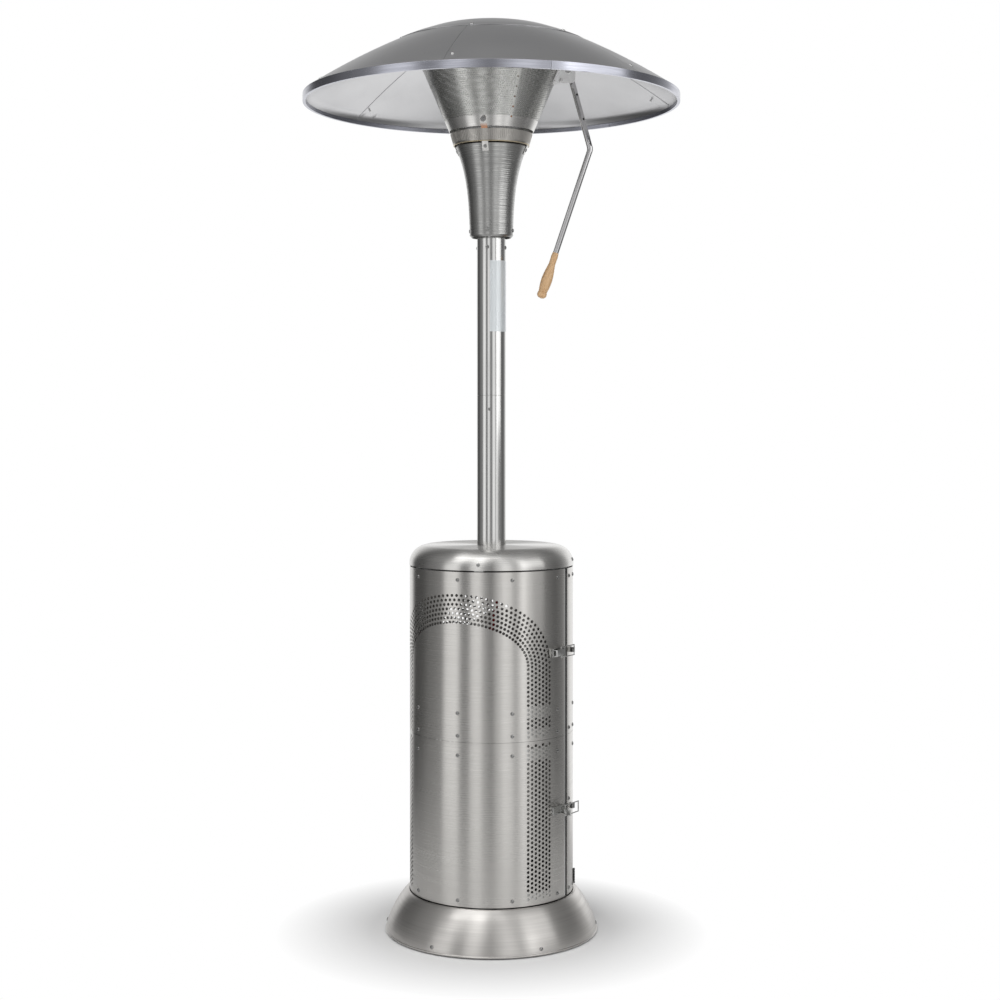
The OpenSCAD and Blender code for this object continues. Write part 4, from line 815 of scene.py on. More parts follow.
def perforated_cone() -> bpy.types.NodeTree:
    """Builds the tree of a cone of perforated sheet.

    Cells with a hole stand in a staggered grid on the flat sheet; those inside the
    cone's blank are kept and rolled about the upright axis.

    Returns:
        The tree.
    """
    tree, given, result = geometry_tree(
        perforated_cone, cell="Object", pitch="Float", near="Float", far="Float",
        lean="Float", apex="Float", middle="Float", width="Float", paint="Material",
    )
    down = given.pitch * (math.sqrt(3) / 2)
    columns = tree.sum("FLOOR", given.width * 2.0 / given.pitch)
    lines = tree.sum("FLOOR", given.far * 2.0 / down)
    spots = tree.add("GeometryNodePoints", columns * lines).outputs[0]
    line, step = staggered(tree, columns)
    place = tree.joined(step * given.pitch - given.width, line * down - given.far, 0.0)
    spots = tree.add("GeometryNodeSetPosition", spots, None, place).outputs[0]

    here = tree.add("GeometryNodeInputPosition").outputs[0]
    across, up, depth = tree.parts(here)
    reach = tree.from_axis(here)
    turn = tree.sum("ARCTAN2", across, up)
    share, rise = tree.sum("SINE", given.lean), tree.sum("COSINE", given.lean)
    in_turn = tree.test("LESS_THAN", tree.sum("ABSOLUTE", turn), share * math.pi)
    in_ring = tree.logic("AND", tree.test("GREATER_THAN", reach, given.near),
                         tree.test("LESS_THAN", reach, given.far))
    outside = tree.logic("NOT", tree.logic("AND", in_turn, in_ring))
    spots = tree.add("GeometryNodeDeleteGeometry", spots, outside, domain="POINT").outputs[0]
    cell = tree.add("GeometryNodeObjectInfo", given.cell).outputs["Geometry"]
    size = tree.joined(given.pitch, given.pitch, given.pitch)
    cells = tree.add("GeometryNodeInstanceOnPoints", spots, None, cell,
                     into={"Scale": size}).outputs[0]
    flat = tree.add("GeometryNodeRealizeInstances", cells).outputs[0]

    radius = reach * share + depth * rise
    height = given.apex + reach * rise - depth * share
    place = rolled(tree, radius, given.middle + turn / share, height)
    cone = tree.add("GeometryNodeSetPosition", flat, None, place).outputs[0]
    return end_tree(tree, cone, given.paint, result)


def fasteners() -> bpy.types.NodeTree:
    """Builds the tree that sets one shape on every point, along the point's own way out.

    Each point holds the way out in its attribute "out". The shape is turned about it
    by a random angle that the seed fixes.

    Returns:
        The tree.
    """
    tree, given, result = geometry_tree(
        fasteners, shape="Object", swing="Float", seed="Int", paint="Material",
    )
    way = tree.add("GeometryNodeInputNamedAttribute", "out", data_type="FLOAT_VECTOR")
    lead = tree.add("FunctionNodeAlignRotationToVector", axis="Z",
                    into={"Vector": way.outputs["Attribute"]})
    spin = tree.add("FunctionNodeRandomValue", data_type="FLOAT",
                    into={2: 0.0, 3: given.swing, "Seed": given.seed})
    own = tree.add("FunctionNodeAxisAngleToRotation", tuple(UP), spin.outputs[1])
    both = tree.add("FunctionNodeRotateRotation", lead.outputs[0], own.outputs[0],
                    rotation_space="LOCAL")
    return end_copies(tree, given.Geometry, given, both.outputs[0], result)


def ring_of_shapes() -> bpy.types.NodeTree:
    """Builds the tree that repeats one shape at equal steps round the upright axis.

    Returns:
        The tree.
    """
    tree, given, result = geometry_tree(
        ring_of_shapes, shape="Object", count="Int", paint="Material",
    )
    spots = tree.add("GeometryNodePoints", given.count).outputs[0]
    index = Value(tree, tree.add("GeometryNodeInputIndex").outputs[0])
    turn = index * (2 * math.pi) / given.count
    way = tree.add("FunctionNodeAxisAngleToRotation", tuple(UP), turn).outputs[0]
    return end_copies(tree, spots, given, way, result)


@dataclass(frozen=True)
class Fasteners:
    """Cross-head screws, plain rivets and hexagon bolts."""

    head: float = 0.0045
    rise: float = 0.0024
    edge_share: float = 0.35
    dome_turns: tuple[float, ...] = (0, 25, 50, 70)
    shank: float = 0.002
    length: float = 0.009
    slot_width: float = 0.0011
    slot_reach: float = 0.0024
    screw_steps: int = 18
    rivet: float = 0.0022
    rivet_rise: float = 0.0014
    rivet_length: float = 0.0014
    rivet_shares: tuple[Point, ...] = ((1, 0), (0.9, 0.6), (0.55, 1), (0.3, 0.6), (0, 0.6))
    rivet_steps: int = 14
    hexagon: float = 0.009
    hexagon_rise: float = 0.005
    hexagon_ease: Point = (0.001, 0.0006)
    bolt: float = 0.005
    bolt_steps: int = 20
    overlap: float = 0.001

    def screw_shape(self) -> bpy.types.Object:
        """Makes one screw with a cross cut in its domed head.

        Returns:
            The screw, which stands on the ground with +Z out of its head.
        """
        low, high = self.rise * self.edge_share, self.rise - self.rise * self.edge_share
        dome = arc((0.0, low), (self.head, high), self.dome_turns)
        ring = [(0, -self.length), (self.shank, -self.length), (self.shank, 0.0),
                (self.head, 0.0), *dome, (0, self.rise)]
        screw = turned("screw_pattern", ring, steps=self.screw_steps)
        shape = bmesh.new()
        slot = (2 * self.slot_reach, self.slot_width)
        for size in (slot, slot[::-1]):
            box = bmesh.ops.create_cube(shape, size=1.0)["verts"]
            bmesh.ops.scale(shape, vec=(*size, self.rise), verts=box)
            bmesh.ops.translate(shape, vec=(0, 0, self.rise), verts=box)
        cross = settle("cross_pattern", shape)
        cut = screw.modifiers.new("cross", "BOOLEAN")
        cut.operation, cut.object, cut.solver = "DIFFERENCE", cross, "EXACT"
        cut.use_self = True
        screw.data = evaluated(screw)
        screw.modifiers.clear()
        bpy.data.objects.remove(cross)
        return screw

    def rivet_shape(self) -> bpy.types.Object:
        """Makes one domed rivet with a sunk eye.

        Returns:
            The rivet.
        """
        shank = self.rivet / 2
        ring = [(0, -self.rivet_length), (shank, -self.rivet_length), (shank, 0)]
        ring += [(self.rivet * out, self.rivet_rise * up) for out, up in self.rivet_shares]
        return turned("rivet_pattern", ring, steps=self.rivet_steps)

    def bolt_shape(self, length: float) -> bpy.types.Object:
        """Makes one hexagon bolt whose shank runs down from the ground.

        Args:
            length: Length of its shank.

        Returns:
            The bolt.
        """
        side, fall = self.hexagon_ease
        head = [(0, 0), (self.hexagon, 0), (self.hexagon, self.hexagon_rise - fall),
                (self.hexagon - side, self.hexagon_rise), (0, self.hexagon_rise)]
        shank = [(0, -length), (self.bolt, -length), (self.bolt, self.overlap), (0, self.overlap)]
        shape = bmesh.new()
        revolve(shape, head, 6)
        revolve(shape, shank, self.bolt_steps)
        return settle("bolt_pattern", shape)

    def spread(self, name: str, spots: Sequence[Spot], pattern: bpy.types.Object,
               finish: Finish, nodes: Sequence[str], body: str, slot: str = "fastener_steel",
               swing: float = math.pi) -> None:
        """Sets a shape on many spots as one piece.

        Args:
            name: Name of the piece.
            spots: Places and ways out.
            pattern: The shape.
            finish: Its finish.
            nodes: CAD nodes that the piece stands for.
            body: Body that it rides on.
            slot: The record's material slot; not used.
            swing: Largest random turn about the way out.
        """
        base = bpy.data.meshes.new(f"{name}_spots")
        base.from_pydata([tuple(place) for place, _ in spots], [], [])
        way = base.attributes.new("out", "FLOAT_VECTOR", "POINT")
        for k, (_, out) in enumerate(spots):
            way.data[k].vector = out
        made = grown(name, fasteners, base, {
            "shape": pattern, "swing": swing, "seed": SEED, "paint": finish.material(),
        })
        dress(made, finish, nodes, body)


@dataclass(frozen=True)
class Foot:
    """Domed foot on its loaded ground plate."""

    shoulder: float = 0.2035
    low_radius: float = 0.2547
    low: float = 0.0055
    high: float = 0.100
    inner: float = 0.1983
    wall: float = 0.0012
    bead: float = 0.0025
    bead_radius: float = 0.2535
    round_power: float = 1.4
    shoulder_power: float = 0.85
    steps: int = 30
    screw_height: float = 0.017
    screw_turn: float = 57.0
    screws: int = 6

    def radius_at(self, height: float) -> float:
        """Gives the skirt's outer radius at a height.

        Args:
            height: The height.

        Returns:
            The radius.
        """
        share = min(1.0, max(0.0, (self.high - height) / (self.high - self.low)))
        bow = pow(1 - pow(1 - share, self.round_power), self.shoulder_power)
        return self.shoulder + (self.low_radius - self.shoulder) * bow

    def build(self) -> None:
        """Builds the skirt, the plate, the weight and the pads."""
        drops = [(self.high - self.low) * pow(k / self.steps, self.round_power)
                 for k in range(self.steps, -1, -1)]
        outer = [(self.radius_at(self.high - drop), self.high - drop) for drop in drops]
        section = sheet([*outer, (self.inner, self.high)], self.wall)
        skirt = turned("foot_skirt_dome", section, bead(self.bead_radius, self.low, self.bead),
                       steps=FINE_STEPS, crease=ROUND_CREASE)
        dress(skirt, FOOT, ["foot_skirt"])
        smoothed("seating_ring", FRAME)
        smoothed("ground_plate", DARK, bevel=0.0005)
        smoothed("ballast_ring", IRON, bevel=0.0015)
        smoothed("rubber_pads", RUBBER, bevel=0.001)

    def screw_spots(self) -> list[Spot]:
        """Gives the spots of the skirt's screws.

        Returns:
            Places and ways out.
        """
        lean = lean_of(self.radius_at, self.screw_height)
        radius = self.radius_at(self.screw_height)
        return spaced(self.screws, radius, self.screw_turn, self.screw_height, lean)


@dataclass(frozen=True)
class Strip:
    """Narrow upright strip in the gap between the front shell and the door; the dark one is
    painted shade.
    """

    name: str
    finish: Finish
    start: float
    sweep: float


@dataclass(frozen=True)
class Housing:
    """Two perforated half shells on hoops and posts; the rear one is the door."""

    radius: float = 0.197
    wall: float = 0.0012
    low: float = 0.1025
    seam: float = 0.485
    seam_gap: float = 0.0003
    high: float = 0.8795
    front_middle: float = 246.5
    front_half: float = 84.5
    door_middle: float = 66.5
    door_half: float = 90.5
    edge_inset: float = 3.5
    column_step: float = 37.7
    rows: tuple[float, ...] = (0.861, 0.552, 0.4995, 0.454, 0.117)
    door_rows: tuple[float, ...] = (0.861, 0.4995, 0.330, 0.117)
    arch_half: float = 0.200
    arch_rise: float = 0.137
    arch_height: float = 0.657
    leg_foot: float = 0.1175
    row_count: int = 7
    row_gap: float = 0.0103
    pitch: float = 0.0105
    hole: float = 0.0035
    hole_rim: float = 0.0055
    strip_radius: float = 0.1963
    strip_wall: float = 0.0002
    strip_steps: int = 360
    # The dark strip is painted shade: a black sheet laid where the gap between shell and door is
    # only shadow.
    strips: tuple[Strip, ...] = (Strip("latch_edge_bright", BRIGHT, 0.05, 1.5),
                                 Strip("latch_edge_dark", DARK, 2.1, 1.1))

    def path(self) -> bpy.types.Mesh:
        """Draws the middle line of the perforations on the flat sheet.

        Returns:
            A mesh of one open line.
        """
        arch = arc((0.0, self.arch_height), (self.arch_half, self.arch_rise), range(0, 181, 3))
        line = [(self.arch_half, self.leg_foot), *arch, (-self.arch_half, self.leg_foot)]
        mesh = bpy.data.meshes.new("arch_path")
        mesh.from_pydata([(x, 0.0, z) for x, z in line],
                         [(k, k + 1) for k in range(len(line) - 1)], [])
        return mesh

    def path_steps(self) -> int:
        """Counts the steps of a row along the whole path.

        Returns:
            The number of steps.
        """
        a, b = self.arch_half, self.arch_rise
        arch = math.pi / 2 * (3 * (a + b) - math.sqrt((3 * a + b) * (a + 3 * b)))
        return int((arch + 2 * (self.arch_height - self.leg_foot)) / self.pitch) + 1

    def panel(self, node: str, middle: float, half: float, low: float, high: float) -> None:
        """Builds one perforated panel.

        Args:
            node: CAD node that it stands for.
            middle: Angle of its middle.
            half: Half of the angle that it covers.
            low: Its lower edge.
            high: Its upper edge.
        """
        made = grown(f"{node}_perforated", perforated_wall, self.path(), {
            "radius": self.radius, "width": 2 * self.radius * math.radians(half),
            "low": low, "high": high, "wall": self.wall, "middle": math.radians(middle),
            "rows": self.row_count, "steps": self.path_steps(), "row_gap": self.row_gap,
            "pitch": self.pitch, "hole": self.hole, "rim": self.hole_rim,
            "arch_half": self.arch_half, "arch_rise": self.arch_rise,
            "arch_height": self.arch_height, "paint": SHEET.material(),
        })
        dress(made, SHEET, [node])

    def build(self) -> None:
        """Builds the panels and what carries them."""
        halves = (("front", self.front_middle, self.front_half),
                  ("door", self.door_middle, self.door_half))
        for side, middle, half in halves:
            self.panel(f"{side}_upper_panel", middle, half, self.seam + self.seam_gap, self.high)
            self.panel(f"{side}_lower_panel", middle, half, self.low, self.seam - self.seam_gap)
        for node in ("front_hoops", "frame_posts", "door_frame"):
            smoothed(node, FRAME)
        smoothed("door_buffer", RUBBER, bevel=0.0006)
        section = sheet([(self.strip_radius, self.low), (self.strip_radius, self.high)],
                        self.strip_wall)
        edge = self.front_middle + self.front_half
        for strip in self.strips:
            made = turned(strip.name, section, steps=self.strip_steps, start=edge + strip.start,
                          sweep=strip.sweep)
            dress(made, strip.finish, [], "stand")

    def screw_spots(self, middle: float) -> list[Spot]:
        """Gives the spots of a half shell's screws."""
        return [on_wall(self.radius, middle + k * self.column_step, z)
                for z in self.rows for k in range(-2, 3)]

    def edge_spots(self) -> list[Spot]:
        """Gives the spots of the screws along the door's upright edges.

        Returns:
            Places and ways out.
        """
        reach = self.door_half - self.edge_inset
        return [on_wall(self.radius, self.door_middle + side * reach, z)
                for z in self.door_rows for side in (-1, 1)]


@dataclass(frozen=True)
class Cap:
    """Rounded cap over the housing."""

    radius: float = 0.198
    low: float = 0.883
    high: float = 0.930
    bend: float = 0.044
    wall: float = 0.0012
    bore: float = 0.0353
    steps: int = 24
    screw_rise: float = 0.011
    screw_turn: float = 351.0
    screws: int = 4

    def build(self) -> None:
        """Builds the cap and the plate beneath it."""
        curve = arc((self.radius - self.bend, self.high - self.bend), (self.bend, self.bend),
                    [90 * k / self.steps for k in range(self.steps + 1)])
        outer = [(self.radius, self.low), *curve, (self.bore, self.high)]
        dome = turned("housing_cap_dome", sheet(outer, self.wall), steps=FINE_STEPS,
                      crease=ROUND_CREASE)
        dress(dome, CAP, ["housing_cap"])
        smoothed("top_plate", FRAME)

    def screw_spots(self) -> list[Spot]:
        """Gives the spots of the cap's screws.

        Returns:
            Places and ways out.
        """
        lean = math.degrees(math.asin(self.screw_rise / self.bend))
        radius = self.radius - self.bend + self.bend * math.cos(math.radians(lean))
        height = self.high - self.bend + self.screw_rise
        return spaced(self.screws, radius, self.screw_turn, height, lean)


@dataclass(frozen=True)
class Post:
    """Two tubes joined by a sleeve, in a socket on the top plate."""

    radius: float = 0.035
    wall: float = 0.0015
    low: float = 0.877
    joint: float = 1.290
    gap: float = 0.0002
    high: float = 1.666
    ease: float = 0.0004
    steps: int = 128
    socket_radius: float = 0.0393
    socket_rise: float = 0.023
    joint_drop: float = 0.033
    top_drop: float = 0.021
    joint_angle: float = 264.0
    top_angle: float = 254.0
    flange_place: float = 0.058
    flange_bolt: float = 0.018

    def tube(self, node: str, low: float, high: float) -> None:
        """Builds a tube with slightly rolled ends.

        Args:
            node: CAD node that it stands for.
            low: Its lower end.
            high: Its upper end.
        """
        inner, eased = self.radius - self.wall, self.radius - self.ease
        ring = [(inner, low), (eased, low), (self.radius, low + self.ease),
                (self.radius, high - self.ease), (eased, high), (inner, high)]
        dress(turned(f"{node}_tube", ring, steps=self.steps), POST, [node])

    def build(self) -> None:
        """Builds the tubes, the sleeve, the socket and the film."""
        self.tube("post_lower", self.low, self.joint - self.gap)
        self.tube("post_upper", self.joint + self.gap, self.high)
        smoothed("post_sleeve", FRAME)
        smoothed("post_socket", DARK, bevel=0.0005)
        smoothed("label_film", FILM)

    def screw_spots(self) -> list[Spot]:
        """Gives the spots of the screws in socket, joint and top.

        Returns:
            Places and ways out.
        """
        return [
            *spaced(4, self.socket_radius, self.joint_angle, self.low + self.socket_rise),
            *spaced(2, self.radius, self.joint_angle, self.joint - self.joint_drop),
            *spaced(4, self.radius, self.top_angle, self.high - self.top_drop),
        ]

    def bolt_spots(self) -> list[Spot]:
        """Gives the spots of the flange's bolts."""
        return [(place, UP) for place, _ in spaced(4, self.flange_place, 45, self.low)]


@dataclass(frozen=True)
class Casing:
    """Spun burner casing with grooves, the ribbed air collar and the straps."""

    low: float = 1.674
    height: float = 0.212
    low_radius: float = 0.052
    high_radius: float = 0.0855
    straight: float = 0.2
    curve: float = 3.1
    lip_radius: float = 0.0475
    lip_low: float = 1.669
    wall: float = 0.001
    steps: int = 128
    crease: float = 60.0
    groove_step: float = 0.0046
    groove_depth: float = 0.0004
    groove_mean: float = 0.55
    groove_swell: float = 0.45
    groove_waves: Point = (171.0, 613.0)
    groove_ends: Point = (0.004, 0.006)
    points_per_groove: int = 6
    collar_low: float = 1.889
    collar_high: float = 1.918
    collar_low_radius: float = 0.0902
    collar_high_radius: float = 0.0985
    collar_ribs: int = 132
    rib_depth: float = 0.0006
    rib_half: float = 0.0011
    rib_root: float = 0.0003
    rib_shoulder: float = 0.7
    rib_margin: float = 0.003
    bead: float = 0.0013
    screw_rise: float = 0.012
    screw_angle: float = 259.0
    screw_lift: float = 0.0003
    strap_screw_drop: float = 0.008
    strap_screw_lift: float = 0.0017
    strap_angle: float = 260.0

    def radius_at(self, height: float) -> float:
        """Gives the casing's outer radius at a height.

        Args:
            height: The height.

        Returns:
            The radius.
        """
        share = (height - self.low) / self.height
        bow = self.straight * share + (1 - self.straight) * pow(max(share, 0.0), self.curve)
        return self.low_radius + (self.high_radius - self.low_radius) * bow

    def groove_at(self, height: float) -> float:
        """Gives the depth of the turning grooves at a height.

        Args:
            height: The height.

        Returns:
            The depth.
        """
        rise, left = height - self.low, self.low + self.height - height
        wave = 0.5 - 0.5 * math.cos(2 * math.pi * rise / self.groove_step)
        slow, fast = self.groove_waves
        swell = self.groove_mean + self.groove_swell * math.sin(rise * slow) * math.sin(
            height * fast)
        ends = min(1.0, rise / self.groove_ends[0], left / self.groove_ends[1])
        return self.groove_depth * wave * swell * max(ends, 0.0)

    def shell(self) -> bpy.types.Object:
        """Makes the grooved casing.

        Returns:
            The casing.
        """
        count = round(self.height / self.groove_step) * self.points_per_groove
        heights = [self.low + self.height * k / count for k in range(count + 1)]
        outer = [(self.radius_at(z) - self.groove_at(z), z) for z in heights]
        smooth = [(self.lip_radius, self.lip_low)]
        smooth += [(self.radius_at(z), z) for z in heights[::self.points_per_groove]]
        inner = sheet(smooth, self.wall)[len(smooth):]
        return turned("burner_casing_spun", [smooth[0], *outer, *inner], steps=self.steps,
                      crease=self.crease)

    def rib_shape(self) -> bpy.types.Object:
        """Makes one rib of the collar in its place.

        Returns:
            The rib.
        """
        half, shoulder = self.rib_half, self.rib_depth * self.rib_shoulder
        section = [(-self.rib_root, -half), (shoulder, -half / 2), (self.rib_depth, 0),
                   (shoulder, half / 2), (-self.rib_root, half)]
        rise = self.collar_high - self.collar_low
        slope = (self.collar_high_radius - self.collar_low_radius) / rise
        shape = bmesh.new()
        ends = []
        for z in (self.collar_low + 2 * self.rib_margin, self.collar_high - self.rib_margin / 3):
            radius = self.collar_low_radius + slope * (z - self.collar_low)
            ends.append([shape.verts.new((radius + out, side, z)) for out, side in section])
        for k in range(len(section)):
            n = (k + 1) % len(section)
            shape.faces.new([ends[0][k], ends[0][n], ends[1][n], ends[1][k]])
        for end in ends:
            shape.faces.new(end)
        return settle("rib_pattern", shape, self.crease)

    def collar(self) -> None:
        """Builds the air collar with its ribs and its bead."""
        wall = sheet([(self.collar_low_radius, self.collar_low),
                      (self.collar_high_radius, self.collar_high)], self.wall)
        dress(turned("air_collar_band", wall), COLLAR, ["air_collar"])
        rib = self.rib_shape()
        ribs = grown("air_collar_ribs", ring_of_shapes, bpy.data.meshes.new("rib_base"), {
            "shape": rib, "count": self.collar_ribs, "paint": COLLAR.material(),
        })
        bpy.data.objects.remove(rib)
        dress(ribs, COLLAR, [], "stand")
        ring = bead(self.collar_low_radius + self.bead / 3, self.collar_low + self.bead, self.bead)
        dress(turned("air_collar_bead", ring, crease=ROUND_CREASE), BEAD, [], "stand")

    def build(self) -> None:
        """Builds the casing and everything on it."""
        dress(self.shell(), CASING, ["burner_casing"])
        self.collar()
        smoothed("head_straps", STRAP, bevel=0.0003)
        smoothed("pivot_bolts", STUD, bevel=0.0003)
        smoothed("burner_support", FRAME, bevel=0.0003)
        smoothed("gas_valve", BRASS, bevel=0.0004)
        smoothed("venturi", FRAME)
        smoothed("burner_head", BURNT)
        smoothed("pilot_assembly", BRIGHT)
        smoothed("gas_pipe", BRASS)

    def screw_spots(self) -> list[Spot]:
        """Gives the spots of the casing's and the straps' screws.

        Returns:
            Places and ways out.
        """
        low = self.low + self.screw_rise
        high = self.low + self.height - self.strap_screw_drop
        return [
            *spaced(4, self.radius_at(low) + self.screw_lift, self.screw_angle, low),
            *spaced(4, self.radius_at(high) + self.strap_screw_lift, self.strap_angle, high,
                    lean_of(self.radius_at, high)),
        ]


@dataclass(frozen=True)
class Emitter:
    """Perforated emitter cone with its lap, its plain bands and its lid."""

    low: float = 1.923
    high: float = 2.120
    radius: float = 0.1015
    slope: float = 0.428
    wall: float = 0.001
    band_high: float = 1.9465
    band_low: float = 2.110
    band_over: float = 0.00015
    cell_pitch: float = 0.0050
    hole_share: float = 0.30
    blank_half: float = 0.46
    sheet_lap: float = 0.004
    lap: float = 295.0
    lap_half: float = 1.7
    lap_steps: int = 360
    lap_over: float = 0.002
    rivets: int = 8
    rivet_lift: float = 0.0002
    bracket_rows: tuple[float, ...] = (2.041, 2.077)
    bracket_angle: float = 350.0
    bracket_side: float = 0.0106
    bracket_lift: float = 0.0028

    def radius_at(self, height: float) -> float:
        """Gives the cone's outer radius at a height."""
        return self.radius + self.slope * (height - self.low)

    def wall_spot(self, angle: float, height: float, lift: float) -> Spot:
        """Gives the spot of a rivet that stands off the cone by a lift."""
        lean = -math.degrees(math.atan(self.slope))
        return on_wall(self.radius_at(height) + lift, angle, height, lean)

    def cell_shape(self) -> bpy.types.Object:
        """Makes one cell of the sheet for a pitch of one.

        Returns:
            The cell: a hexagon with a hole through it.
        """
        shape = bmesh.new()
        depth, rim = self.wall / self.cell_pitch, 1 / math.sqrt(3)
        rings = []
        for radius, height in ((rim, 0.0), (self.hole_share, 0.0),
                               (self.hole_share, -depth), (rim, -depth)):
            turns = [math.radians(60 * k) for k in range(6)]
            rings.append([shape.verts.new((radius * math.sin(t), radius * math.cos(t), height))
                          for t in turns])
        for first, second in zip(rings, rings[1:]):
            for k in range(6):
                n = (k + 1) % 6
                shape.faces.new([first[n], first[k], second[k], second[n]])
        return settle("cell_pattern", shape, turn_out=False)

    def mesh_part(self, name: str, low: float, high: float, nodes: list[str]) -> None:
        """Builds the perforated sheet between two heights.

        Args:
            name: Name of the piece.
            low: Lower height.
            high: Upper height.
            nodes: CAD nodes that it stands for.
        """
        lean = math.atan(self.slope)
        apex = self.low - self.radius / self.slope
        cell = self.cell_shape()
        made = grown(name, perforated_cone, bpy.data.meshes.new(f"{name}_base"), {
            "cell": cell, "pitch": self.cell_pitch, "lean": lean, "apex": apex,
            "near": (low - apex) / math.cos(lean), "far": (high - apex) / math.cos(lean),
            "middle": math.radians(self.lap + 180), "width": self.blank_half,
            "paint": EMITTER.material(),
        })
        bpy.data.objects.remove(cell)
        dress(made, EMITTER, nodes, "head")

    def band(self, low: float, high: float) -> list[Point]:
        """Gives the section of a plain band that covers the sheet's edge.

        Args:
            low: Its lower height.
            high: Its upper height.

        Returns:
            The closed section.
        """
        over = self.band_over
        return sheet([(self.radius_at(low) + over, low), (self.radius_at(high) + over, high)],
                     self.wall + 2 * over)

    def build(self) -> None:
        """Builds the cone, the lid and the pivot plates."""
        middle = (self.band_high + self.band_low) / 2
        self.mesh_part("emitter_mesh_lower", self.band_high - self.sheet_lap, middle,
                       ["emitter_cone"])
        self.mesh_part("emitter_mesh_upper", middle, self.band_low + self.sheet_lap, [])
        bands = turned("emitter_bands", self.band(self.low, self.band_high),
                       self.band(self.band_low, self.high))
        dress(bands, BAND, [], "head")
        section = self.band(self.band_high - self.lap_over, self.band_low + self.lap_over)
        lap = turned("emitter_lap", section, steps=self.lap_steps,
                     start=self.lap - self.lap_half, sweep=2 * self.lap_half)
        dress(lap, EMITTER, [], "head")
        smoothed("emitter_lid", DOME, bevel=0.0005)
        smoothed("pivot_plates", STRAP, bevel=0.0003)

    def rivet_spots(self) -> list[Spot]:
        """Gives the spots of the rivets along the lap.

        Returns:
            Places and ways out.
        """
        step = (self.high - self.low) / (self.rivets + 1)
        return [self.wall_spot(self.lap, self.low + step * (k + 1), self.rivet_lift)
                for k in range(self.rivets)]

    def bracket_spots(self) -> list[Spot]:
        """Gives the spots of the rivets in the lever bracket's foot.

        Returns:
            Places and ways out.
        """
        spots = []
        for z in self.bracket_rows:
            for side in (-1, 1):
                across = polar(side * self.bracket_side, self.bracket_angle + 90, 0)
                place, out = self.wall_spot(self.bracket_angle, z, self.bracket_lift)
                spots.append((place + across, out))
        return spots


@dataclass(frozen=True)
class Reflector:
    """Six dome panels, the rim and the top disc."""

    radius: float = 0.451
    rise: float = 0.191
    edge: float = 2.0085
    wall: float = 0.001
    power: float = 1.53
    panels: int = 6
    seam: float = 256.7
    disc: float = 0.232
    disc_lap: float = 0.028
    disc_knee: float = 0.150
    disc_knee_drop: float = 0.014
    disc_flat: float = 0.090
    disc_top: float = 2.178
    disc_lift: float = 0.0013
    disc_crease: float = 40.0
    knee_share: float = 0.3
    knee_steps: int = 4
    pillar_place: float = 0.070
    screw_side: float = 1.65
    screw_in: float = 0.031
    disc_screw_in: float = 0.009
    disc_screw_lift: float = 0.0016

    def height_at(self, radius: float) -> float:
        """Gives the dome's outer height at a radius."""
        return self.edge + self.rise * (1 - pow(radius / self.radius, self.power))

    def seat(self, radius: float) -> Point:
        """Gives the point of the disc's outer side that lies on the panels at a radius."""
        lean = math.radians(lean_of(self.height_at, radius))
        return radius, self.height_at(radius) + self.disc_lift / math.cos(lean)

    def disc_points(self) -> list[Point]:
        """Gives the points of the top disc's outer side with rounded knees.

        Returns:
            The points from the disc's edge to its middle.
        """
        line = [self.seat(self.disc), self.seat(self.disc - self.disc_lap),
                (self.disc_knee, self.disc_top - self.disc_knee_drop),
                (self.disc_flat, self.disc_top), (0.0, self.disc_top)]
        points = [line[0]]
        for before, here, after in zip(line, line[1:], line[2:]):
            a, b, c = Vector(before), Vector(here), Vector(after)
            reach = min((a - b).length, (c - b).length) * self.knee_share
            first, last = b + (a - b).normalized() * reach, b + (c - b).normalized() * reach
            for k in range(self.knee_steps + 1):
                t = k / self.knee_steps
                spot = first * (1 - t) ** 2 + b * 2 * t * (1 - t) + last * t * t
                points.append((spot.x, spot.y))
        return [*points, line[-1]]

    def build(self) -> None:
        """Builds the panels, the rim, the disc and its pillars."""
        smoothed("reflector_panels", DOME)
        smoothed("reflector_rim", RIM, bevel=0.0003)
        disc = turned("reflector_disc_dome", sheet(self.disc_points(), self.wall),
                      steps=FINE_STEPS, crease=self.disc_crease)
        dress(disc, DOME, ["reflector_disc"])
        smoothed("reflector_pillars", PALE)

    def screw_spots(self) -> list[Spot]:
        """Gives the spots of the screws along seams, disc and pillars.

        Returns:
            Places and ways out.
        """
        spots = []
        for k in range(self.panels):
            turn = self.seam + 360 * k / self.panels + self.screw_side
            for radius, lift in ((self.radius - self.screw_in, 0.0),
                                 (self.disc - self.disc_screw_in, self.disc_screw_lift)):
                lean = 90 - lean_of(self.height_at, radius)
                place, out = on_wall(radius, turn, self.height_at(radius), lean)
                spots.append((place + out * lift, out))
        pillars = spaced(4, self.pillar_place, 45, self.disc_top)
        return spots + [(place, UP) for place, _ in pillars]


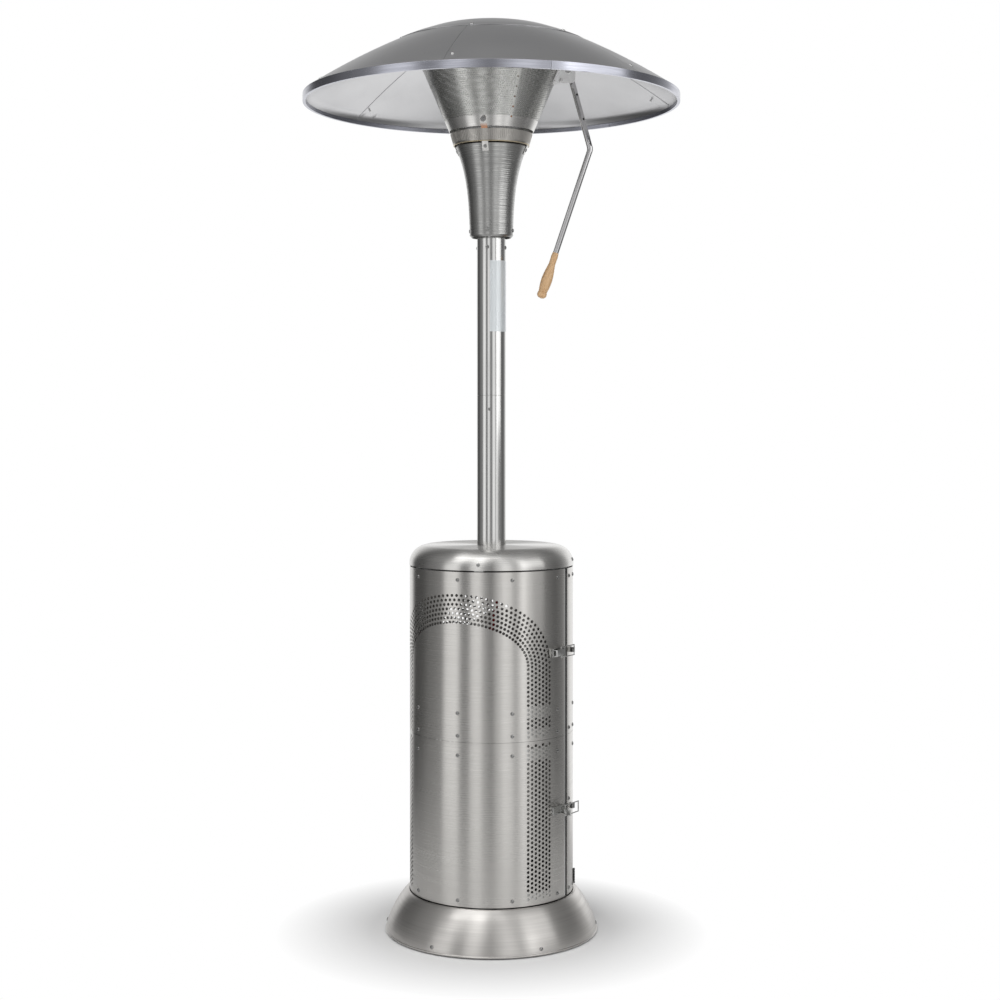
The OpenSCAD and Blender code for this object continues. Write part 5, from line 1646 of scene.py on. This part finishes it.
@dataclass(frozen=True)
class Lever:
    """Tilting lever with its bracket and its turned grip."""

    angle: float = 350.0
    end: Point = (0.1552, 1.632)
    lean: float = 18.7
    grip_length: float = 0.115
    grip_radius: float = 0.0135
    groove: float = 0.0010
    groove_place: float = 0.855
    groove_reach: float = 0.014
    round_from: float = 0.93
    grip_points: int = 84
    grip_steps: int = 48
    plate_screw: Point = (0.168, 2.043)
    bolt: Point = (0.187, 2.066)
    bolt_swing: float = 0.5
    side: float = 0.01005
    tube: float = 0.007
    bolt_over: float = 0.006
    shares: tuple[float, ...] = (0.54, 0.62, 0.6, 0.6, 0.72, 0.85, 0.94, 1, 0.98, 0.92, 0.8, 0.87,
                                 0.78)

    def axis(self) -> Vector:
        """Gives the way that the grip points."""
        lean = math.radians(self.lean)
        return polar(-math.sin(lean), self.angle, -math.cos(lean))

    def radius_at(self, share: float) -> float:
        """Gives the grip's radius at a share of its length, eased between its stations.

        Args:
            share: Share of the length from the tube's end.

        Returns:
            The radius.
        """
        place = share * (len(self.shares) - 1)
        first = min(int(place), len(self.shares) - 2)
        part = place - first
        ease = part * part * (3 - 2 * part)
        low, high = self.shares[first], self.shares[first + 1]
        radius = self.grip_radius * (low + (high - low) * (part + ease) / 2)
        if abs(share - self.groove_place) < self.groove_reach / 2:
            radius -= self.groove
        over = max(0.0, share - self.round_from) / (1 - self.round_from)
        return radius * math.sqrt(max(0.0, 1 - over * over))

    def grip(self) -> bpy.types.Object:
        """Turns the grip and sets it on the end of the tube.

        Returns:
            The grip.
        """
        count = self.grip_points
        ring = [(self.radius_at(k / count), self.grip_length * k / count) for k in range(count)]
        made = turned("lever_grip_turned", [(0, 0), *ring, (0, self.grip_length)],
                      steps=self.grip_steps, crease=ROUND_CREASE)
        reach, height = self.end
        place = polar(reach, self.angle, height) + polar(self.side, self.angle + 90, 0)
        turn = UP.rotation_difference(self.axis()).to_matrix().to_4x4()
        made.data.transform(Matrix.Translation(place) @ turn)
        return made

    def build(self) -> None:
        """Builds the bracket, the tube and the grip."""
        smoothed("lever_bracket", PALE, bevel=0.0004)
        smoothed("lever_rod", LEVER)
        beech = Timber("lacquered_beech", (0.70, 0.46, 0.25), 0.40, along=10.0, across=300.0,
                       metallic=0.0, coat=0.35, axis=tuple(self.axis()))
        dress(self.grip(), beech, ["lever_grip"])

    def plate_spot(self, place: Point) -> Spot:
        """Gives the spot on the bracket's plate at a distance from the axis and a height."""
        reach, height = place
        return polar(reach, self.angle, height), -polar(1, self.angle + 90, 0)


@dataclass(frozen=True)
class Small:
    """One small piece that keeps the shape of its CAD node."""

    node: str
    finish: Finish
    slot: str
    bevel: float = 0.0003


SMALL_PIECES = (
    Small("latch_bases", LATCH, "fastener_steel"),
    Small("latch_keepers", LATCH, "fastener_steel"),
    Small("upper_latch_lever", LATCH, "fastener_steel"),
    Small("lower_latch_lever", LATCH, "fastener_steel"),
    Small("upper_latch_loop", LATCH, "fastener_steel", 0.0),
    Small("lower_latch_loop", LATCH, "fastener_steel", 0.0),
    Small("hinge_frame_leaves", BRIGHT, "fastener_steel"),
    Small("hinge_door_leaves", BRIGHT, "fastener_steel"),
    Small("control_bezel", PLASTIC, "black_plastic"),
    Small("control_knob", PLASTIC, "black_plastic", 0.0004),
    Small("igniter_button", RED, "red_plastic", 0.0005),
    Small("regulator", CAST, "zinc", 0.0006),
    Small("regulator_tap", RED, "red_plastic", 0.0005),
    Small("gas_hose", HOSE, "hose_rubber", 0.0),
)


@dataclass(frozen=True)
class Lamp:
    """Soft square lamp that points at a height on the upright axis."""

    name: str
    place: tuple[float, float, float]
    aim: float
    size: float
    power: float
    mirrored: bool = True

    def hang(self) -> None:
        """Hangs the lamp; bare metal shows one that is mirrored."""
        data = bpy.data.lights.new(self.name, "AREA")
        data.size, data.energy = self.size, self.power
        made = bpy.data.objects.new(self.name, data)
        made.location = self.place
        way = Vector((0, 0, self.aim)) - Vector(self.place)
        made.rotation_euler = way.to_track_quat("-Z", "Y").to_euler()
        made.visible_glossy = self.mirrored
        bpy.context.scene.collection.objects.link(made)


@dataclass(frozen=True)
class Studio:
    """Pale floor, soft sky, lamps and camera."""

    camera: tuple[float, float, float] = (0.0, -4.204, 1.241)
    pitch: float = -0.80
    lens: float = 62.68
    sensor: float = 36.0
    far: float = 100.0
    shift: Point = (0.0086, -0.06)
    floor_size: float = 24.0
    floor_tone: float = 0.93
    white_ends: Ends = (0.29, 0.52, 0.0, 1.0)
    bands_ends: Ends = (0.9, 1.5, 0.0, 1.0)
    front_ends: Ends = (-0.8, 0.5, 0.95, 0.14)
    high_ends: Ends = (0.20, 0.62, 0.0, 1.0)
    rear_ends: Ends = (-0.3, 0.5, 0.20, 0.92)
    lamps: tuple[Lamp, ...] = (
        Lamp("lamp_overhead", (-1.2, -1.5, 4.6), 1.0, 3.2, 45.0),
        Lamp("lamp_side", (2.8, -1.6, 2.2), 1.0, 2.2, 16.0),
        Lamp("lamp_front", (-0.4, -3.6, 1.3), 1.7, 1.6, 22.0, mirrored=False),
    )
    bands: tuple[Point, ...] = (
        (-180, 0.95), (-152, 0.90), (-134, 0.08), (-114, 0.10), (-92, 0.20), (-74, 0.28),
        (-64, 1.00), (-50, 1.05), (-40, 0.20), (-33, 0.25), (-26, 0.90), (-18, 1.00),
        (-8, 0.35), (0, 0.18), (9, 0.65), (18, 1.10), (25, 1.00), (33, 0.50), (45, 1.10),
        (53, 0.60), (64, 0.28), (82, 0.22), (100, 0.14), (114, 0.20), (128, 0.42),
        (144, 1.05), (180, 1.0),
    )

    def banded(self, tree: Tree, way: Socket) -> Value:
        """Gives the brightness of the upright bands of light in a direction.

        Args:
            tree: The tree.
            way: The direction, or a place seen from the object.

        Returns:
            The brightness.
        """
        left, back, _ = tree.parts(way)
        turn = tree.sum("ARCTAN2", left, back * -1.0)
        ramp = tree.add("ShaderNodeValToRGB", turn / (2 * math.pi) + 0.5)
        ramp.color_ramp.interpolation = "EASE"
        marks = ramp.color_ramp.elements
        while len(marks) > 1:
            marks.remove(marks[0])
        top = max(value for _, value in self.bands)
        for k, (angle, value) in enumerate(self.bands):
            place = angle / 360 + 0.5
            mark = marks[0] if k == 0 else marks.new(place)
            mark.position = place
            mark.color = (value / top, value / top, value / top, 1)
        return tree.sum("MULTIPLY", ramp.outputs[0], top)

    def sky(self) -> None:
        """Builds the soft surroundings, white where the camera sees them."""
        world = bpy.data.worlds.new("studio_sky")
        bpy.context.scene.world = world
        world.use_nodes = True
        world.node_tree.nodes.clear()
        tree = Tree(world.node_tree)
        way = tree.add("ShaderNodeTexCoord").outputs["Generated"]
        _, back, up = tree.parts(way)
        front = tree.ranged(back, *self.front_ends)
        share = tree.ranged(up, *self.high_ends) * tree.ranged(back, *self.rear_ends)
        lit = tree.mixed(Blend.NUMBER, share, self.banded(tree, way), front)
        seen = tree.add("ShaderNodeLightPath").outputs["Is Camera Ray"]
        level = tree.mixed(Blend.NUMBER, seen, lit, 1.0)
        glow = tree.add("ShaderNodeBackground", WHITE, level)
        tree.add("ShaderNodeOutputWorld", glow.outputs[0])

    def floor(self) -> None:
        """Builds the pale floor that fades to white away from the object."""
        shape = bmesh.new()
        bmesh.ops.create_grid(shape, x_segments=1, y_segments=1, size=self.floor_size / 2)
        made = settle("studio_floor", shape)
        paint = bpy.data.materials.new("pale_floor")
        paint.use_nodes = True
        paint.node_tree.nodes.clear()
        tree = Tree(paint.node_tree)
        place, ray = tree.place(), tree.add("ShaderNodeLightPath").outputs
        away = tree.measured("LENGTH", place)
        seen = tree.ranged(away, *self.white_ends) * ray["Is Camera Ray"]
        matt = tree.add("ShaderNodeBsdfDiffuse", (*[self.floor_tone] * 3, 1))
        white = tree.add("ShaderNodeEmission", WHITE, 1.0)
        blend = tree.add("ShaderNodeMixShader", seen, matt.outputs[0], white.outputs[0])
        mirrored = tree.ranged(away, *self.bands_ends) * ray["Is Glossy Ray"]
        light = tree.add("ShaderNodeEmission", WHITE, self.banded(tree, place))
        whole = tree.add("ShaderNodeMixShader", mirrored, blend.outputs[0], light.outputs[0])
        tree.add("ShaderNodeOutputMaterial", whole.outputs[0])
        made.data.materials.append(paint)

    def build(self) -> None:
        """Builds the studio and the camera."""
        self.sky()
        self.floor()
        for lamp in self.lamps:
            lamp.hang()
        data = bpy.data.cameras.new("camera")
        data.lens, data.sensor_width, data.clip_end = self.lens, self.sensor, self.far
        data.shift_x, data.shift_y = self.shift
        made = bpy.data.objects.new("camera", data)
        made.location = self.camera
        made.rotation_euler = (math.radians(90 + self.pitch), 0, 0)
        bpy.context.scene.collection.objects.link(made)
        bpy.context.scene.camera = made
        bpy.context.scene.view_settings.view_transform = "Standard"


@dataclass(frozen=True)
class Heater:
    """The whole heater as its sub-assemblies."""

    foot: Foot = Foot()
    housing: Housing = Housing()
    cap: Cap = Cap()
    post: Post = Post()
    casing: Casing = Casing()
    emitter: Emitter = Emitter()
    reflector: Reflector = Reflector()
    lever: Lever = Lever()
    kit: Fasteners = Fasteners()

    def build(self) -> None:
        """Builds the sub-assemblies in order, then the small pieces and the fasteners."""
        for part in (self.foot, self.housing, self.cap, self.post, self.casing, self.emitter,
                     self.reflector, self.lever):
            part.build()
        for small in SMALL_PIECES:
            smoothed(small.node, small.finish, small.bevel)
        self.fasten()

    def fasten(self) -> None:
        """Sets every screw, rivet and bolt."""
        kit, housing, post, lever = self.kit, self.housing, self.post, self.lever
        screw, rivet = kit.screw_shape(), kit.rivet_shape()
        flange = kit.bolt_shape(post.flange_bolt)
        through = kit.bolt_shape(lever.side + lever.tube + lever.bolt_over)
        stand = [*self.foot.screw_spots(), *housing.screw_spots(housing.front_middle),
                 *self.cap.screw_spots()]
        door = [*housing.screw_spots(housing.door_middle), *housing.edge_spots()]
        head = [*self.reflector.screw_spots(), lever.plate_spot(lever.plate_screw)]
        rivets = [*self.emitter.rivet_spots(), *self.emitter.bracket_spots()]
        kit.spread("housing_screw_set", stand, screw, STUD, ["housing_screws"], "stand")
        kit.spread("door_screw_set", door, screw, STUD, ["door_screws"], "rear_door")
        kit.spread("post_screw_set", post.screw_spots(), screw, STUD, ["post_screws"], "stand")
        kit.spread("casing_screw_set", self.casing.screw_spots(), screw, STUD,
                   ["casing_screws"], "stand")
        kit.spread("head_screw_set", head, screw, BRIGHT, ["head_bolts"], "head")
        kit.spread("head_rivet_set", rivets, rivet, BURNT, ["head_rivets"], "head",
                   slot="heat_tinted_steel")
        kit.spread("flange_bolt_set", post.bolt_spots(), flange, BRIGHT, [], "stand")
        kit.spread("lever_bolt_set", [lever.plate_spot(lever.bolt)], through, BRIGHT, [], "head",
                   swing=lever.bolt_swing)
        for pattern in (screw, rivet, flange, through):
            bpy.data.objects.remove(pattern)


def main() -> None:
    """Builds the heater's pieces in order and then the studio."""
    logging.basicConfig(level=logging.INFO, format="%(name)s: %(message)s")
    Heater().build()
    Studio().build()


if __name__ == "__main__":
    main()
